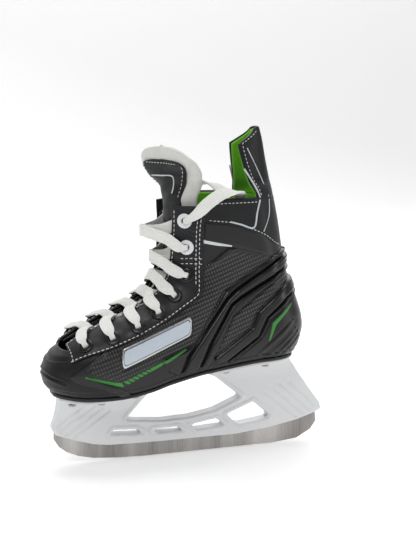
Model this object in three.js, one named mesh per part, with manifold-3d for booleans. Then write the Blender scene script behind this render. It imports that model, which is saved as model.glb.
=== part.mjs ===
// A left ice hockey skate, youth size: a moulded boot with its tongue, padding and lace, on a
// plastic blade holder with a steel runner.
//
// Frame: millimetres, +Z up, toe toward -X, the outer (lateral) side of the foot toward -Y.
// The origin is the middle of the runner's bottom edge, where the skate meets the ice.
//
// The boot is a stack of closed loops, h = 0 at the sole, h = 1 at the collar and above 1 for the
// free tongue and the tendon guard. q runs round a loop: 0 at the front, 1 at the back, with the
// lateral side at 0 < q < 1 and the medial side at 1 < q < 2, which is the same as -1 < q < 0.
// Every layer of the boot is a slab of that surface between two depths d, outward positive.
import * as THREE from 'three';
import { mergeVertices } from 'three/addons/utils/BufferGeometryUtils.js';
import Module from 'manifold-3d';

// ---------------------------------------------------------------- driving dimensions
const BOOT_LENGTH = 201;          // toe to heel, outside
const BOOT_WIDTH = 76;            // across the ball of the foot, outside
const COLLAR_RISE = 144;          // collar top above the sole at the toe
const GAP = 0.3;                  // clearance between neighbouring pieces
const LAYER = 1.0;                // clearance between the boot's curved layers

const SHELL = 2.2;                // moulded quarter and toe cap
const EYESTAY = 1.3;              // facing stitched over the quarter
const SEAT = 0.7;                 // what the facing's backing lifts it off the quarter
const FOAM = 2.5;                 // ankle foam and heel counter, behind the shell
const LINER = 1.3;                // lining behind the foam
const TONGUE = 4.0;               // felt tongue
const OUTSOLE = 2.5;
const BOARD = 2.0;                // lasting board above the outsole
const INSOLE = 3.0;

const EYELET_BORE = 2.4;          // radii
const EYELET_BARREL = 3.1;
const EYELET_FLANGE = 5.5;
const EYELET_LIP = 1.0;           // thickness of the flange
// eyelet centres seen from the side, toe to top
const EYELETS = [[-84.5, 92.8], [-66.2, 98.8], [-47.8, 106.4], [-31.6, 115.0], [-17.8, 127.0],
  [-8.6, 142.8], [-8.4, 163.8], [-9.6, 183.4]];

const LACE_WIDTH = 9.0;
const LACE_THICK = 1.7;
const TONGUE_DEPTH = SHELL + LACE_THICK + 2.6;   // tongue's outer face below the boot's, under the lace
const LACE_NECK = 3.4;            // width where it folds through an eyelet
const LACE_TOTAL = 1830;          // the whole lace, tip to tip
const AGLET_LENGTH = 22;

const RUNNER_THICK = 3.0;
const RUNNER_GRIP = 3.6;          // how far the runner's top edge sits up in the holder
const HOLDER_WEB = 11.0;          // holder's width low down
const HOLDER_FLANGE = 46;         // width of the flanges under the sole
const FLANGE_THICK = 3.2;
const LUG_WIDTH = 12;
const BOLT_RADIUS = 2.4;
const NUT_RADIUS = 4.2;
const NUT_HEIGHT = 3.6;
const ACCESS_RADIUS = 5.4;        // hole over each runner nut, reached under the insole
const RIVET_RADIUS = 1.5;
const RIVET_HEAD = 3.0;

// ---------------------------------------------------------------- the boot's surface
const SX = BOOT_LENGTH / 201, SY = BOOT_WIDTH / 76, SZ = COLLAR_RISE / 144;
const SOLE_Z = 54;                // height of the sole at the toe
const X = x => x * SX;
const Z = z => SOLE_Z + (z - SOLE_Z) * SZ;

// h, front point x z, back point x z, half width at the ball and at the heel,
// share of the loop that rounds the front and the back
const LOOPS = [
  [0.00, -107.0, 56.5, 82.0, 76.0, 33.5, 25.0, 0.31, 0.15],
  [0.06, -112.0, 62.5, 86.0, 82.0, 36.8, 28.0, 0.30, 0.15],
  [0.14, -113.5, 71.5, 88.5, 90.0, 38.0, 29.4, 0.29, 0.155],
  [0.22, -110.0, 81.0, 89.8, 97.5, 37.8, 29.8, 0.28, 0.16],
  [0.30, -100.5, 89.3, 88.8, 105.5, 37.0, 29.6, 0.27, 0.165],
  [0.40, -86.5, 98.0, 85.6, 116.0, 35.6, 29.2, 0.28, 0.175],
  [0.50, -68.5, 106.3, 81.8, 126.0, 34.2, 28.8, 0.30, 0.19],
  [0.60, -49.5, 114.5, 77.6, 136.0, 32.8, 28.6, 0.34, 0.215],
  [0.70, -32.0, 127.5, 74.0, 147.0, 31.4, 28.8, 0.38, 0.25],
  [0.80, -24.5, 147.0, 71.6, 158.5, 30.6, 29.4, 0.40, 0.29],
  [0.90, -23.5, 172.0, 68.4, 178.5, 30.8, 30.2, 0.40, 0.32],
  [1.00, -24.5, 198.0, 64.5, 198.0, 31.4, 30.6, 0.40, 0.34],
  [1.25, -31.0, 212.0, 62.4, 212.0, 33.0, 20.0, 0.36, 0.34],
  [1.50, -36.0, 226.0, 59.9, 226.0, 34.0, 14.5, 0.36, 0.32],
  [1.75, -40.0, 240.0, 57.6, 240.0, 33.0, 10.5, 0.36, 0.29],
  [1.92, -42.0, 250.0, 55.0, 250.0, 32.0, 8.0, 0.36, 0.27],
];
// the sole line's dip under the ball and rise under the arch, against a straight line
const SOLE_DIP = [[0, 0], [0.12, -3.4], [0.25, -4.4], [0.36, -2.8], [0.45, 0.2], [0.6, 2.4],
  [0.8, 2.6], [1, 0]];

// smooth curve through keys [t, value...], column c, with no overshoot
function curve(keys, c, t) {
  const n = keys.length;
  if (t <= keys[0][0]) return keys[0][c];
  if (t >= keys[n - 1][0]) return keys[n - 1][c];
  let i = 0;
  while (keys[i + 1][0] < t) i++;
  const slope = k => (k < 0 || k > n - 2) ? null
    : (keys[k + 1][c] - keys[k][c]) / (keys[k + 1][0] - keys[k][0]);
  const tangent = (a, b) => a === null ? b : b === null ? a : a * b <= 0 ? 0 : 2 * a * b / (a + b);
  const w = keys[i + 1][0] - keys[i][0], u = (t - keys[i][0]) / w;
  const m0 = tangent(slope(i - 1), slope(i)), m1 = tangent(slope(i), slope(i + 1));
  return keys[i][c] * (1 + 2 * u) * (1 - u) ** 2 + w * m0 * u * (1 - u) ** 2
    + keys[i + 1][c] * u * u * (3 - 2 * u) - w * m1 * u * u * (1 - u);
}
const ROUND = 2.2;                // roundness of the loops' ends: 2 is an ellipse
const bulge = t => t >= 1 ? 1 : t <= 0 ? 0 : (1 - (1 - t) ** ROUND) ** (1 / ROUND);
const smooth = t => t <= 0 ? 0 : t >= 1 ? 1 : t * t * (3 - 2 * t);

function halfWidth(h, s) {
  const ball = curve(LOOPS, 5, h), heel = curve(LOOPS, 6, h);
  const a = curve(LOOPS, 7, h), b = curve(LOOPS, 8, h);
  return SY * (ball + (heel - ball) * smooth((s - a) / (1 - a - b))) * bulge(s / a)
    * bulge((1 - s) / b);
}
function loopXZ(h, s) {
  const dip = curve(SOLE_DIP, 1, s) * Math.max(0, 1 - h / 0.35) ** 1.5;
  const fx = curve(LOOPS, 1, h), fz = curve(LOOPS, 2, h);
  return [X(fx + (curve(LOOPS, 3, h) - fx) * s), Z(fz + (curve(LOOPS, 4, h) - fz) * s + dip)];
}
const TOE_SWING = 3.0;            // the toe curves toward the medial side
const swing = s => SY * TOE_SWING * (Math.max(0, 0.7 - s) / 0.7) ** 2 - 0.6;
const shareOf = q => (1 - Math.cos(Math.PI * q)) / 2;
const roundOf = s => Math.acos(1 - 2 * Math.min(1, Math.max(0, s))) / Math.PI;

function basePoint(h, q) {
  const side = ((q % 2) + 2) % 2 <= 1 ? -1 : 1, s = shareOf(q);
  const [x, z] = loopXZ(h, s);
  return new THREE.Vector3(x, side * halfWidth(h, s) + swing(s), z);
}
function normalAt(h, q) {
  const e = 0.004;
  const along = basePoint(h, q + e).sub(basePoint(h, q - e));
  const up = basePoint(h + e, q).sub(basePoint(Math.max(0, h - e), q));
  const n = along.cross(up).normalize();
  const s = shareOf(q), out = basePoint(h, q).sub(new THREE.Vector3(...loopCentre(h)));
  return n.dot(out) < 0 || (s === 0 && n.x > 0) ? n.negate() : n;
}
function loopCentre(h) {
  const [x, z] = loopXZ(h, 0.5);
  return [x, 0, z];
}
const skin = (h, q, d) => basePoint(h, q).addScaledVector(normalAt(h, q), d);

// q on the lateral side where the loop h passes a given x
function roundAtX(h, x) {
  const [x0] = loopXZ(h, 0), [x1] = loopXZ(h, 1);
  return roundOf((X(x) - x0) / (x1 - x0));
}
// h and q of a point seen from the side
function locate(x, z) {
  let lo = 0, hi = 1.2;
  for (let i = 0; i < 30; i++) {
    const h = (lo + hi) / 2, s = shareOf(roundAtX(h, x));
    if (loopXZ(h, s)[1] < Z(z)) lo = h; else hi = h;
  }
  return [lo, roundAtX(lo, x)];
}
// q on the lateral side, from the front, where the loop is a given distance round the boot
function roundAtArc(h, from, length) {
  let q = from, gone = 0, p = basePoint(h, q);
  while (gone < length && q < 1) {
    q += 0.002;
    const next = basePoint(h, q);
    gone += next.distanceTo(p);
    p = next;
  }
  return q;
}
// height of the shell's lower edge at a place along the boot
const soleZ = x => {
  const s = (x - loopXZ(0, 0)[0]) / (loopXZ(0, 1)[0] - loopXZ(0, 0)[0]);
  return loopXZ(0, Math.min(1, Math.max(0, s)))[1];
};

// ---------------------------------------------------------------- edges on the boot
const THROAT = [[0.2, 9], [0.4, 10], [0.6, 13], [0.8, 17.5], [1, 20.5]];   // half opening
const THROAT_TOE_X = -96;         // where the throat's facing ends across the toe
const EYESTAY_EDGE = [[0.215, -98], [0.26, -87], [0.33, -63.5], [0.395, -47], [0.50, -27], [0.60, -12],
  [0.68, 0.5], [0.8, 1.6], [0.9, 2], [0.98, 4]];
const CAP_EDGE = [[0, -61], [0.06, -73], [0.12, -94], [0.15, -97], [0.22, -88], [0.30, -77]];
// the moulded shell's top edge, seen from the side; the stitched collar starts above it
const RIM = [[-3, 185], [3.5, 182], [22.4, 179.5], [39.4, 174.0], [50.5, 169.0], [60, 162.0], [80, 152.0]];
const GUARD_EDGE = [[0.74, 34], [0.80, 38], [0.90, 44], [1.0, 45.5], [1.25, 42], [1.5, 38.5], [1.75, 36.5],
  [1.92, 42]];

function throat(h) {
  let lo = 0, hi = 0.3;
  const want = curve(THROAT, 1, h) * SY;
  for (let i = 0; i < 24; i++) {
    const mid = (lo + hi) / 2;
    if (halfWidth(h, shareOf(mid)) < want) lo = mid; else hi = mid;
  }
  return Math.max(lo, h < 0.4 ? roundAtX(h, THROAT_TOE_X) : 0);
}
const eyestayEdge = h => roundAtX(h, curve(EYESTAY_EDGE, 1, h));
const capEdge = h => roundAtX(h, curve(CAP_EDGE, 1, h));
const guardEdge = h => roundAtX(h, curve(GUARD_EDGE, 1, h));
const gapRound = (h, q, mm) => mm / basePoint(h, q + 0.01).distanceTo(basePoint(h, q - 0.01)) * 0.02;

// ---------------------------------------------------------------- solids from faces
function solid(points, faces) {
  const position = new Float32Array(points.length * 3);
  points.forEach((p, i) => position.set([p.x, p.y, p.z], i * 3));
  let volume = 0;
  for (const [a, b, c] of faces) volume += points[a].dot(points[b].clone().cross(points[c]));
  const index = volume < 0 ? faces.map(([a, b, c]) => [a, c, b]) : faces;
  const geometry = new THREE.BufferGeometry();
  geometry.setAttribute('position', new THREE.BufferAttribute(position, 3));
  geometry.setIndex(index.flat());
  return geometry;
}
const steps = (a, b, n) => Array.from({ length: n + 1 }, (_, i) => a + (b - a) * i / n);

// a closed solid from rings of equal length: rings[i][j], ends capped by fans of quads
function loft(rings, closedEnds = true) {
  const n = rings[0].length, points = rings.flat(), faces = [];
  for (let i = 0; i + 1 < rings.length; i++)
    for (let j = 0; j < n; j++) {
      const a = i * n + j, b = i * n + (j + 1) % n;
      faces.push([a, b, b + n], [a, b + n, a + n]);
    }
  if (closedEnds)
    for (const [start, flip] of [[0, true], [(rings.length - 1) * n, false]])
      for (let j = 0; j < n / 2 - 1; j++) {
        const a = start + j, b = start + j + 1, c = start + n - 2 - j, d = start + n - 1 - j;
        const quad = j + 1 === c - start ? [[a, b, d]] : [[a, b, c], [a, c, d]];
        for (const f of quad) if (new Set(f).size === 3) faces.push(flip ? [...f].reverse() : f);
      }
  return solid(points, faces);
}
// a slab of the boot between depths, over rows of h and a range of q in each row
function slab(rows, from, to, columns, inner, outer) {
  return slabAt(rows, h => steps(from(h), to(h), columns), inner, outer);
}
function slabAt(rows, places, inner, outer) {
  return loft(rows.map(h => {
    const qs = places(h);
    return [...qs.map(q => skin(h, q, outer)), ...qs.map(q => skin(h, q, inner)).reverse()];
  }));
}

const mirrored = f => h => 2 - f(h);

// ---------------------------------------------------------------- booleans
const wasm = await Module();
wasm.setup();
function toManifold(geometry, matrix) {
  const g = geometry.clone();
  if (matrix) g.applyMatrix4(matrix);
  for (const name of Object.keys(g.attributes)) if (name !== 'position') g.deleteAttribute(name);
  const m = mergeVertices(g, 1e-4);
  return new wasm.Manifold(new wasm.Mesh({ numProp: 3,
    vertProperties: new Float32Array(m.attributes.position.array),
    triVerts: new Uint32Array(m.index.array) }));
}
function fromManifold(m) {
  const mesh = m.getMesh(), g = new THREE.BufferGeometry();
  g.setAttribute('position', new THREE.BufferAttribute(new Float32Array(mesh.vertProperties), 3));
  g.setIndex([...mesh.triVerts]);
  return g;
}
const cut = (geometry, tools) => fromManifold(tools.reduce((m, t) => m.subtract(t),
  toManifold(geometry)));
// a cylinder or prism along a direction, as a cutting tool or a solid
function rod(centre, axis, radius, below, above, sides = 12) {
  const g = new THREE.CylinderGeometry(radius, radius, above + below, sides);
  g.translate(0, (above - below) / 2, 0);
  const turn = new THREE.Quaternion().setFromUnitVectors(new THREE.Vector3(0, 1, 0), axis);
  return g.applyMatrix4(new THREE.Matrix4().compose(centre, turn, new THREE.Vector3(1, 1, 1)));
}
// a ring turned about an axis from a closed profile of [radius, height] points
function turned(centre, axis, profile, sides = 12) {
  const g = new THREE.LatheGeometry([...profile, profile[0]].map(p => new THREE.Vector2(...p)), sides);
  const turn = new THREE.Quaternion().setFromUnitVectors(new THREE.Vector3(0, 1, 0), axis);
  g.applyMatrix4(new THREE.Matrix4().compose(centre, turn, new THREE.Vector3(1, 1, 1)));
  for (const name of ['normal', 'uv']) g.deleteAttribute(name);
  return fromManifold(toManifold(g));
}
// an outline in the XZ plane, extruded to a width along Y
function plate(points, width, holes = []) {
  const shape = new THREE.Shape(points.map(([x, z]) => new THREE.Vector2(x, z)));
  for (const hole of holes) shape.holes.push(new THREE.Path(hole.map(p => new THREE.Vector2(...p))));
  const g = new THREE.ExtrudeGeometry(shape, { depth: width, bevelEnabled: false });
  return g.translate(0, 0, -width / 2).rotateX(Math.PI / 2);
}
const UP = new THREE.Vector3(0, 0, 1);

// ---------------------------------------------------------------- the scene graph
const skate = new THREE.Group();
const finish = {
  shell: { color: 0x23252a, roughness: 0.38, metalness: 0.05 },
  cap: { color: 0x1d1e21, roughness: 0.6, metalness: 0 },
  leather: { color: 0x2a2c31, roughness: 0.5, metalness: 0 },
  lining: { color: 0x62b31c, roughness: 0.85, metalness: 0 },
  foam: { color: 0x2e2e30, roughness: 0.95, metalness: 0 },
  felt: { color: 0xd6d6d0, roughness: 0.95, metalness: 0 },
  lace: { color: 0xdcdcd6, roughness: 0.8, metalness: 0 },
  holder: { color: 0xe8e9ea, roughness: 0.35, metalness: 0 },
  steel: { color: 0xb4b0ac, roughness: 0.3, metalness: 1 },
  sole: { color: 0x17181a, roughness: 0.6, metalness: 0 },
  badge: { color: 0xc6cedb, roughness: 0.4, metalness: 0.2 },
  eyeletBlack: { color: 0x101113, roughness: 0.25, metalness: 0.4 },
  eyeletWhite: { color: 0xe6e7e8, roughness: 0.4, metalness: 0 },
};
function add(name, geometry, look) {
  const mesh = new THREE.Mesh(geometry, new THREE.MeshStandardMaterial(finish[look]));
  mesh.name = name;
  skate.add(mesh);
  return mesh;
}

// ---------------------------------------------------------------- eyelets: places and holes
const eyelets = [];
for (const [side, word] of [[1, 'lateral'], [-1, 'medial']])
  EYELETS.forEach(([x, z], i) => {
    const [h, q] = locate(x, z);
    eyelets.push({ side, word, row: i, h, q, at: basePoint(h, side * q), axis: normalAt(h, side * q) });
  });
const eyeletHoles = side => eyelets.filter(e => e.side === side).map(e =>
  toManifold(rod(e.at, e.axis, EYELET_BARREL + GAP, 8, 6)));

// ---------------------------------------------------------------- boot shell
const INNER = { foam: -SHELL - LAYER, liner: -SHELL - FOAM - 2 * LAYER };
const SHELL_TOP = 0.975;
const shellRows = [0.004, 0.07, 0.14, 0.22, 0.30, 0.35, 0.43, 0.51, 0.59, 0.67, 0.75, 0.83, 0.91,
  SHELL_TOP];
const quarterFront = h => h < 0.3 ? capEdge(h) + gapRound(h, capEdge(h), GAP)
  : Math.max(throat(h), h < 0.33 ? capEdge(0.3) + (throat(0.33) - capEdge(0.3)) * (h - 0.3) / 0.03 : 0);
const quarterBack = h => 1 - gapRound(h, 0.95, GAP / 2);
// everything above the rim, behind the facing, or everything below it
const rim = up => RIM.map(([x, z]) => [X(x), Z(z) + up]);
const aboveRim = () => toManifold(plate([...rim(0), [X(80), 300], [X(-3), 300]], 200));
const belowRim = () => toManifold(plate([...rim(GAP), [X(80), 0], [X(-3), 0]].reverse(), 200));
// the quarter's columns run with the facing's where it lies under it, so that they sit flush
function quarterColumns(h) {
  const a = quarterFront(h), b = quarterBack(h);
  const m = h > 0.33 ? Math.min(eyestayEdge(h), b - 0.01) : a + (b - a) * 0.25;
  return [...steps(a, m, 4), ...steps(m, b, 10).slice(1)];
}
function quarter(side) {
  const g = slabAt(shellRows, h => quarterColumns(h).map(q => side * q), -SHELL, 0);
  return cut(g, [...eyeletHoles(side), aboveRim()]);
}
add('quarter_lateral', quarter(1), 'shell');
add('quarter_medial', quarter(-1), 'shell');

const capFront = h => h < 0.3 ? capEdge(h) - gapRound(h, capEdge(h), GAP) : capEdge(0.3);
add('toe_cap', cut(slab([0.004, 0.07, 0.14, 0.22, 0.26, 0.298], h => -capFront(h), capFront,
  16, -SHELL, 0), [...eyeletHoles(1), ...eyeletHoles(-1)]), 'cap');

const eyestayRows = [0.23, 0.25, 0.275, ...shellRows.filter(h => h >= 0.30)];
function eyestay(side) {
  const g = slab(eyestayRows, h => side * throat(h), h => side * eyestayEdge(h), 4, SEAT, SEAT + EYESTAY);
  return cut(g, eyeletHoles(side));
}
add('eyestay_lateral', eyestay(1), 'leather');
add('eyestay_medial', eyestay(-1), 'leather');

// collar: two side panels above the shell's rim, and a rear panel under the tendon guard
const collarFront = h => eyestayEdge(h) + gapRound(h, eyestayEdge(h), GAP);
const collarRows = [0.79, 0.84, 0.89, 0.94, 0.998];
const collarBack = h => guardEdge(h) - gapRound(h, guardEdge(h), GAP);
for (const [side, word] of [[1, 'lateral'], [-1, 'medial']])
  add(`collar_${word}`, cut(slab(collarRows, h => side * collarFront(h),
    h => side * collarBack(h), 6, -SHELL, 0), [belowRim()]), 'leather');
add('collar_rear', cut(slab([0.74, ...collarRows], guardEdge, mirrored(guardEdge), 12, -SHELL, 0),
  [belowRim()]), 'leather');

// ---------------------------------------------------------------- tendon guard, springs backward
const guardRows = [1.008, 1.1, 1.25, 1.4, 1.55, 1.7, 1.8, 1.9];
add('tendon_guard', slab(guardRows, guardEdge, mirrored(guardEdge), 8, -SHELL - FOAM, 0), 'leather');

// ---------------------------------------------------------------- padding and lining
const tongueEdge = h => roundAtArc(h, throat(h), h < 0.32 ? 6 : 16);
// the padding starts behind the eyelets
const PAD_EDGE = [[0.3, -60], [0.34, -36], [0.5, -14], [0.6, -2], [0.68, 5], [0.8, 7], [1, 8]];
const padFront = h => roundAtX(h, curve(PAD_EDGE, 1, h));
for (const [side, word] of [[1, 'lateral'], [-1, 'medial']])
  add(`ankle_foam_${word}`, slab(steps(0.34, 0.985, 9), h => side * padFront(h),
    h => side * 0.994, 9, INNER.foam - FOAM, INNER.foam), 'foam');
add('heel_counter', slab(steps(0.035, 0.325, 5), h => roundAtX(h, -5), mirrored(h => roundAtX(h, -5)), 16,
  INNER.foam - FOAM + 0.3, INNER.foam - 0.3), 'foam');
const linerFront = padFront;
add('liner', slab([0.10, 0.16, 0.22, 0.28, 0.34, 0.42, 0.50, 0.58, 0.66, 0.74, 0.82, 0.90, 0.985],
  linerFront, mirrored(linerFront), 18, INNER.liner - LINER, INNER.liner), 'lining');

// ---------------------------------------------------------------- tongue, folds forward
const TONGUE_TOP = 1.62;
const tongueHalf = h => h <= 1 ? tongueEdge(h)
  : tongueEdge(1) * Math.sqrt(Math.max(0.05, 1 - Math.max(0, (h - 1.2) / (TONGUE_TOP - 1.18)) ** 2.6));
add('tongue_lower', slab([0.41, 0.46, 0.51, 0.56, 0.61, 0.66, 0.72, 0.8, 0.9, 0.995],
  h => -tongueHalf(h), tongueHalf, 8, -TONGUE_DEPTH - TONGUE, -TONGUE_DEPTH), 'felt');
// the free end opens flat and turns toward the lateral side as it rises
const TONGUE_TURN = Math.PI / 8;
function turnedTongue(g) {
  const at = g.attributes.position, x0 = X(-18.6), from = Z(200);
  for (let i = 0; i < at.count; i++) {
    const up = smooth((at.getZ(i) - from) / 24), a = TONGUE_TURN * up;
    const across = at.getY(i) / (24 * SY), bow = 15.5 * Math.abs(across) ** 2.3;
    const x = at.getX(i) - x0 - 0.72 * up * (bow - 15), y = at.getY(i) * (1 + 0.14 * up * across * across);
    at.setXY(i, x0 + x * Math.cos(a) - y * Math.sin(a), x * Math.sin(a) + y * Math.cos(a));
  }
  return g;
}
add('tongue_upper', turnedTongue(slab([1.005, 1.1, 1.2, 1.3, 1.4, 1.48, 1.55, 1.6, TONGUE_TOP],
  h => -tongueHalf(h), tongueHalf, 8, -TONGUE_DEPTH - TONGUE, -TONGUE_DEPTH)), 'felt');
const patchHalf = h => tongueHalf(Math.max(h, 1)) * 0.62;
add('tongue_patch', turnedTongue(slab([1.02, 1.12, 1.22, 1.3, 1.38, 1.43], h => -patchHalf(h),
  patchHalf, 8, -TONGUE_DEPTH + 0.6, -TONGUE_DEPTH + 1.5)), 'leather');

// ---------------------------------------------------------------- sole pieces
// a plate that follows the sole line, between two heights above it, inset from the boot's edge
function solePlate(bottom, top, inset, from, to, n = 16) {
  const rings = [];
  for (let i = 0; i <= n; i++) {
    const s = from + (to - from) * (1 - Math.cos(Math.PI * i / n)) / 2;
    const [x, z] = loopXZ(0, s);
    const w = Math.max(1.2, halfWidth(0.0, s) - inset);
    const c = swing(s);
    rings.push([[-w, bottom], [w, bottom], [w, top], [-w, top]].map(([y, up]) =>
      new THREE.Vector3(x, y + c, z + up)));
  }
  return loft(rings);
}
const HOLES = { front: -85, rear: 69 };                     // runner bolts
const RIVETS = [[-94, 13.2], [-73, 17], [-47, 17], [24, 17], [56, 17]];   // x, half spacing
const rivetSpots = [];
for (const [x, y] of RIVETS) for (const side of [-1, 1]) rivetSpots.push([X(x), side * y * SY]);
const SOLE_BOTTOM = -OUTSOLE - GAP;                          // outsole's underside, from the shell's edge
const through = (spots, radius) => spots.map(([x, y]) =>
  toManifold(rod(new THREE.Vector3(x, y, soleZ(x)), UP, radius, 30, 40, 8)));
const boltSpots = [[X(HOLES.front), 0], [X(HOLES.rear), 0]];
const soleHoles = [...through(rivetSpots, RIVET_RADIUS + GAP), ...through(boltSpots, ACCESS_RADIUS)];
const BOARD_BOTTOM = 0;
const INSOLE_BOTTOM = BOARD_BOTTOM + BOARD + GAP;
add('outsole', cut(solePlate(SOLE_BOTTOM, -GAP, -0.3, 0.004, 0.996), soleHoles), 'sole');
add('lasting_board', cut(solePlate(BOARD_BOTTOM, BOARD_BOTTOM + BOARD, SHELL + 1.2, 0.022, 0.978),
  soleHoles), 'foam');
const RIVET_CLENCH = 1.9;
add('insole', solePlate(INSOLE_BOTTOM + RIVET_CLENCH, INSOLE_BOTTOM + RIVET_CLENCH + INSOLE,
  SHELL + FOAM + LINER + 1.4, 0.045, 0.955), 'foam');

// ---------------------------------------------------------------- holder
const HOLDER_BOTTOM = [[-105.3, 23.6], [-92.3, 18.8], [-76.5, 14.0], [-64.8, 12.3], [-24.7, 11.5],
  [37.5, 11.8], [62.7, 14.4], [88.1, 19.0], [102.5, 23.6]];
const HOLDER_REAR = [[107.7, 26.5], [106.6, 31.0], [98.1, 42.5], [88.6, 56.1], [79.5, 69.5]];
const HOLDER_FRONT = [[-102.5, 52.0], [-101.8, 47.8], [-103.2, 42.1], [-105.4, 34.6], [-107.9, 28.4]];
const BIG_WINDOW = [[-33.0, 52.5], [-50.8, 31.8], [-45.4, 30.3], [-23.1, 28.1], [-0.3, 28.9],
  [19.3, 32.4], [39.2, 40.5], [40.1, 41.9], [19.3, 59.1], [10.5, 63.0]];
const WINDOWS = [
  [[-63.7, 20.3], [-60.9, 23.7], [-43.0, 22.7], [-37.6, 18.9]],
  [[-30.0, 21.6], [-10.7, 21.9], [-5.9, 18.0], [-27.1, 18.7]],
  [[0.0, 22.6], [20.6, 25.7], [27.6, 19.6], [4.4, 18.3]],
  [[29.1, 28.3], [51.0, 36.6], [63.7, 25.2], [62.7, 22.4], [40.6, 19.4], [36.1, 20.8]],
];
const scaled = points => points.map(([x, z]) => [X(x), z]);
const flangeTop = x => soleZ(x) + SOLE_BOTTOM - GAP;
const soleLine = (a, b, n) => steps(a, b, n).map(x => [X(x), flangeTop(X(x))]);
const holderOutline = [...scaled(HOLDER_BOTTOM), ...scaled(HOLDER_REAR),
  ...soleLine(79, 9, 7), ...scaled(BIG_WINDOW).reverse().slice(0, -1), [X(-33), 52],
  ...soleLine(-33.5, -101, 8), ...scaled(HOLDER_FRONT)];
// half width of the holder at a height below the sole: a web that flares into the flanges
const FLARE = 20;
function holderHalf(below) {
  const web = HOLDER_WEB / 2, flange = HOLDER_FLANGE / 2;
  if (below < FLANGE_THICK) return flange;
  const t = Math.max(0, 1 - (below - FLANGE_THICK) / FLARE);
  return web + (flange * 0.42 - web) * t * t;
}
function holderBody() {
  const levels = [0, FLANGE_THICK - 0.01, FLANGE_THICK, FLANGE_THICK + 3, FLANGE_THICK + 7,
    FLANGE_THICK + 12, FLANGE_THICK + FLARE];
  const rings = steps(-112, 112, 16).map(x0 => {
    const x = X(x0), top = flangeTop(x);
    const side = levels.map(b => [holderHalf(b), top - b]);
    side.push([HOLDER_WEB / 2, -5]);
    return [...side.map(([y, z]) => new THREE.Vector3(x, y, z)),
      ...side.reverse().map(([y, z]) => new THREE.Vector3(x, -y, z))];
  });
  return toManifold(loft(rings));
}
const slotTop = HOLDER_BOTTOM.map(([x, z]) => [x, z + RUNNER_GRIP + 0.5]);
const LUG_TOP = { front: 31, rear: 37 };
const runnerSlot = () => {
  const width = RUNNER_THICK + 2 * GAP;
  const slot = toManifold(plate([...scaled(slotTop), [X(112), slotTop.at(-1)[1] + 1], [X(112), -8], [X(-112), -8],
    [X(-112), slotTop[0][1]]], width));
  const lug = (x, top) => toManifold(plate([[X(x) - LUG_WIDTH / 2 - GAP, 10], [X(x) + LUG_WIDTH / 2 + GAP, 10],
    [X(x) + LUG_WIDTH / 2 + GAP, top + GAP], [X(x) - LUG_WIDTH / 2 - GAP, top + GAP]], width));
  return slot.add(lug(HOLES.front, LUG_TOP.front)).add(lug(HOLES.rear, LUG_TOP.rear));
};
function holder() {
  let m = toManifold(plate(holderOutline, 120, WINDOWS.map(scaled))).intersect(holderBody());
  m = m.intersect(toManifold(footprint()));
  m = m.subtract(runnerSlot());
  for (const t of through(rivetSpots, RIVET_RADIUS + GAP)) m = m.subtract(t);
  for (const [x, y] of boltSpots) {
    const at = new THREE.Vector3(x, y, flangeTop(x));
    m = m.subtract(toManifold(rod(at, UP, BOLT_RADIUS + GAP, 45, 5, 12)));
    m = m.subtract(toManifold(rod(at, UP, ACCESS_RADIUS, NUT_HEIGHT + 1.4, 5, 12)));
  }
  return fromManifold(m);
}
// the sole's plan, set in from its edge, as a tall prism; wide open behind the heel
function footprint() {
  const edge = [], n = 22;
  for (let i = 0; i <= n; i++) {
    const s = (1 - Math.cos(Math.PI * i / n)) / 2;
    edge.push([loopXZ(0, s)[0], Math.max(HOLDER_WEB / 2 + 1, halfWidth(0, s) - 4), swing(s)]);
  }
  const outline = [[X(-115), -8], ...edge.map(([x, w, c]) => [x, -w + c]), [X(118), -8], [X(118), 8],
    ...edge.reverse().map(([x, w, c]) => [x, w + c]), [X(-115), 8]];
  const shape = new THREE.Shape(outline.map(p => new THREE.Vector2(...p)));
  return new THREE.ExtrudeGeometry(shape, { depth: 130, bevelEnabled: false }).translate(0, 0, -10);
}
add('holder', holder(), 'holder');

// ---------------------------------------------------------------- runner
const REST_HALF = 14;             // the flat part of the runner's rocker, each way from the middle
const RUNNER_BOTTOM = [[-105.7, 24.5], [-105.9, 19.2], [-102.1, 13.1], [-96.4, 8.7], [-87.6, 4.8], [-75.9, 2.2],
  [-58.1, 0.7], [-36, 0.15], [-REST_HALF, 0], [REST_HALF, 0], [42, 0.1], [69.2, 0.6], [88.7, 2.7],
  [100.2, 8.9], [105.0, 15.5], [104.2, 23.2]];
const runnerTop = HOLDER_BOTTOM.map(([x, z]) => [x, z + RUNNER_GRIP]);
const runnerLug = (x, top) => toManifold(plate([[X(x) - LUG_WIDTH / 2, 14], [X(x) + LUG_WIDTH / 2, 14],
  [X(x) + LUG_WIDTH / 2, top], [X(x) - LUG_WIDTH / 2, top]], RUNNER_THICK));
add('runner', fromManifold(toManifold(plate([...scaled(RUNNER_BOTTOM), ...scaled(runnerTop).reverse()],
  RUNNER_THICK)).add(runnerLug(HOLES.front, LUG_TOP.front)).add(runnerLug(HOLES.rear, LUG_TOP.rear))),
'steel');

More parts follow.
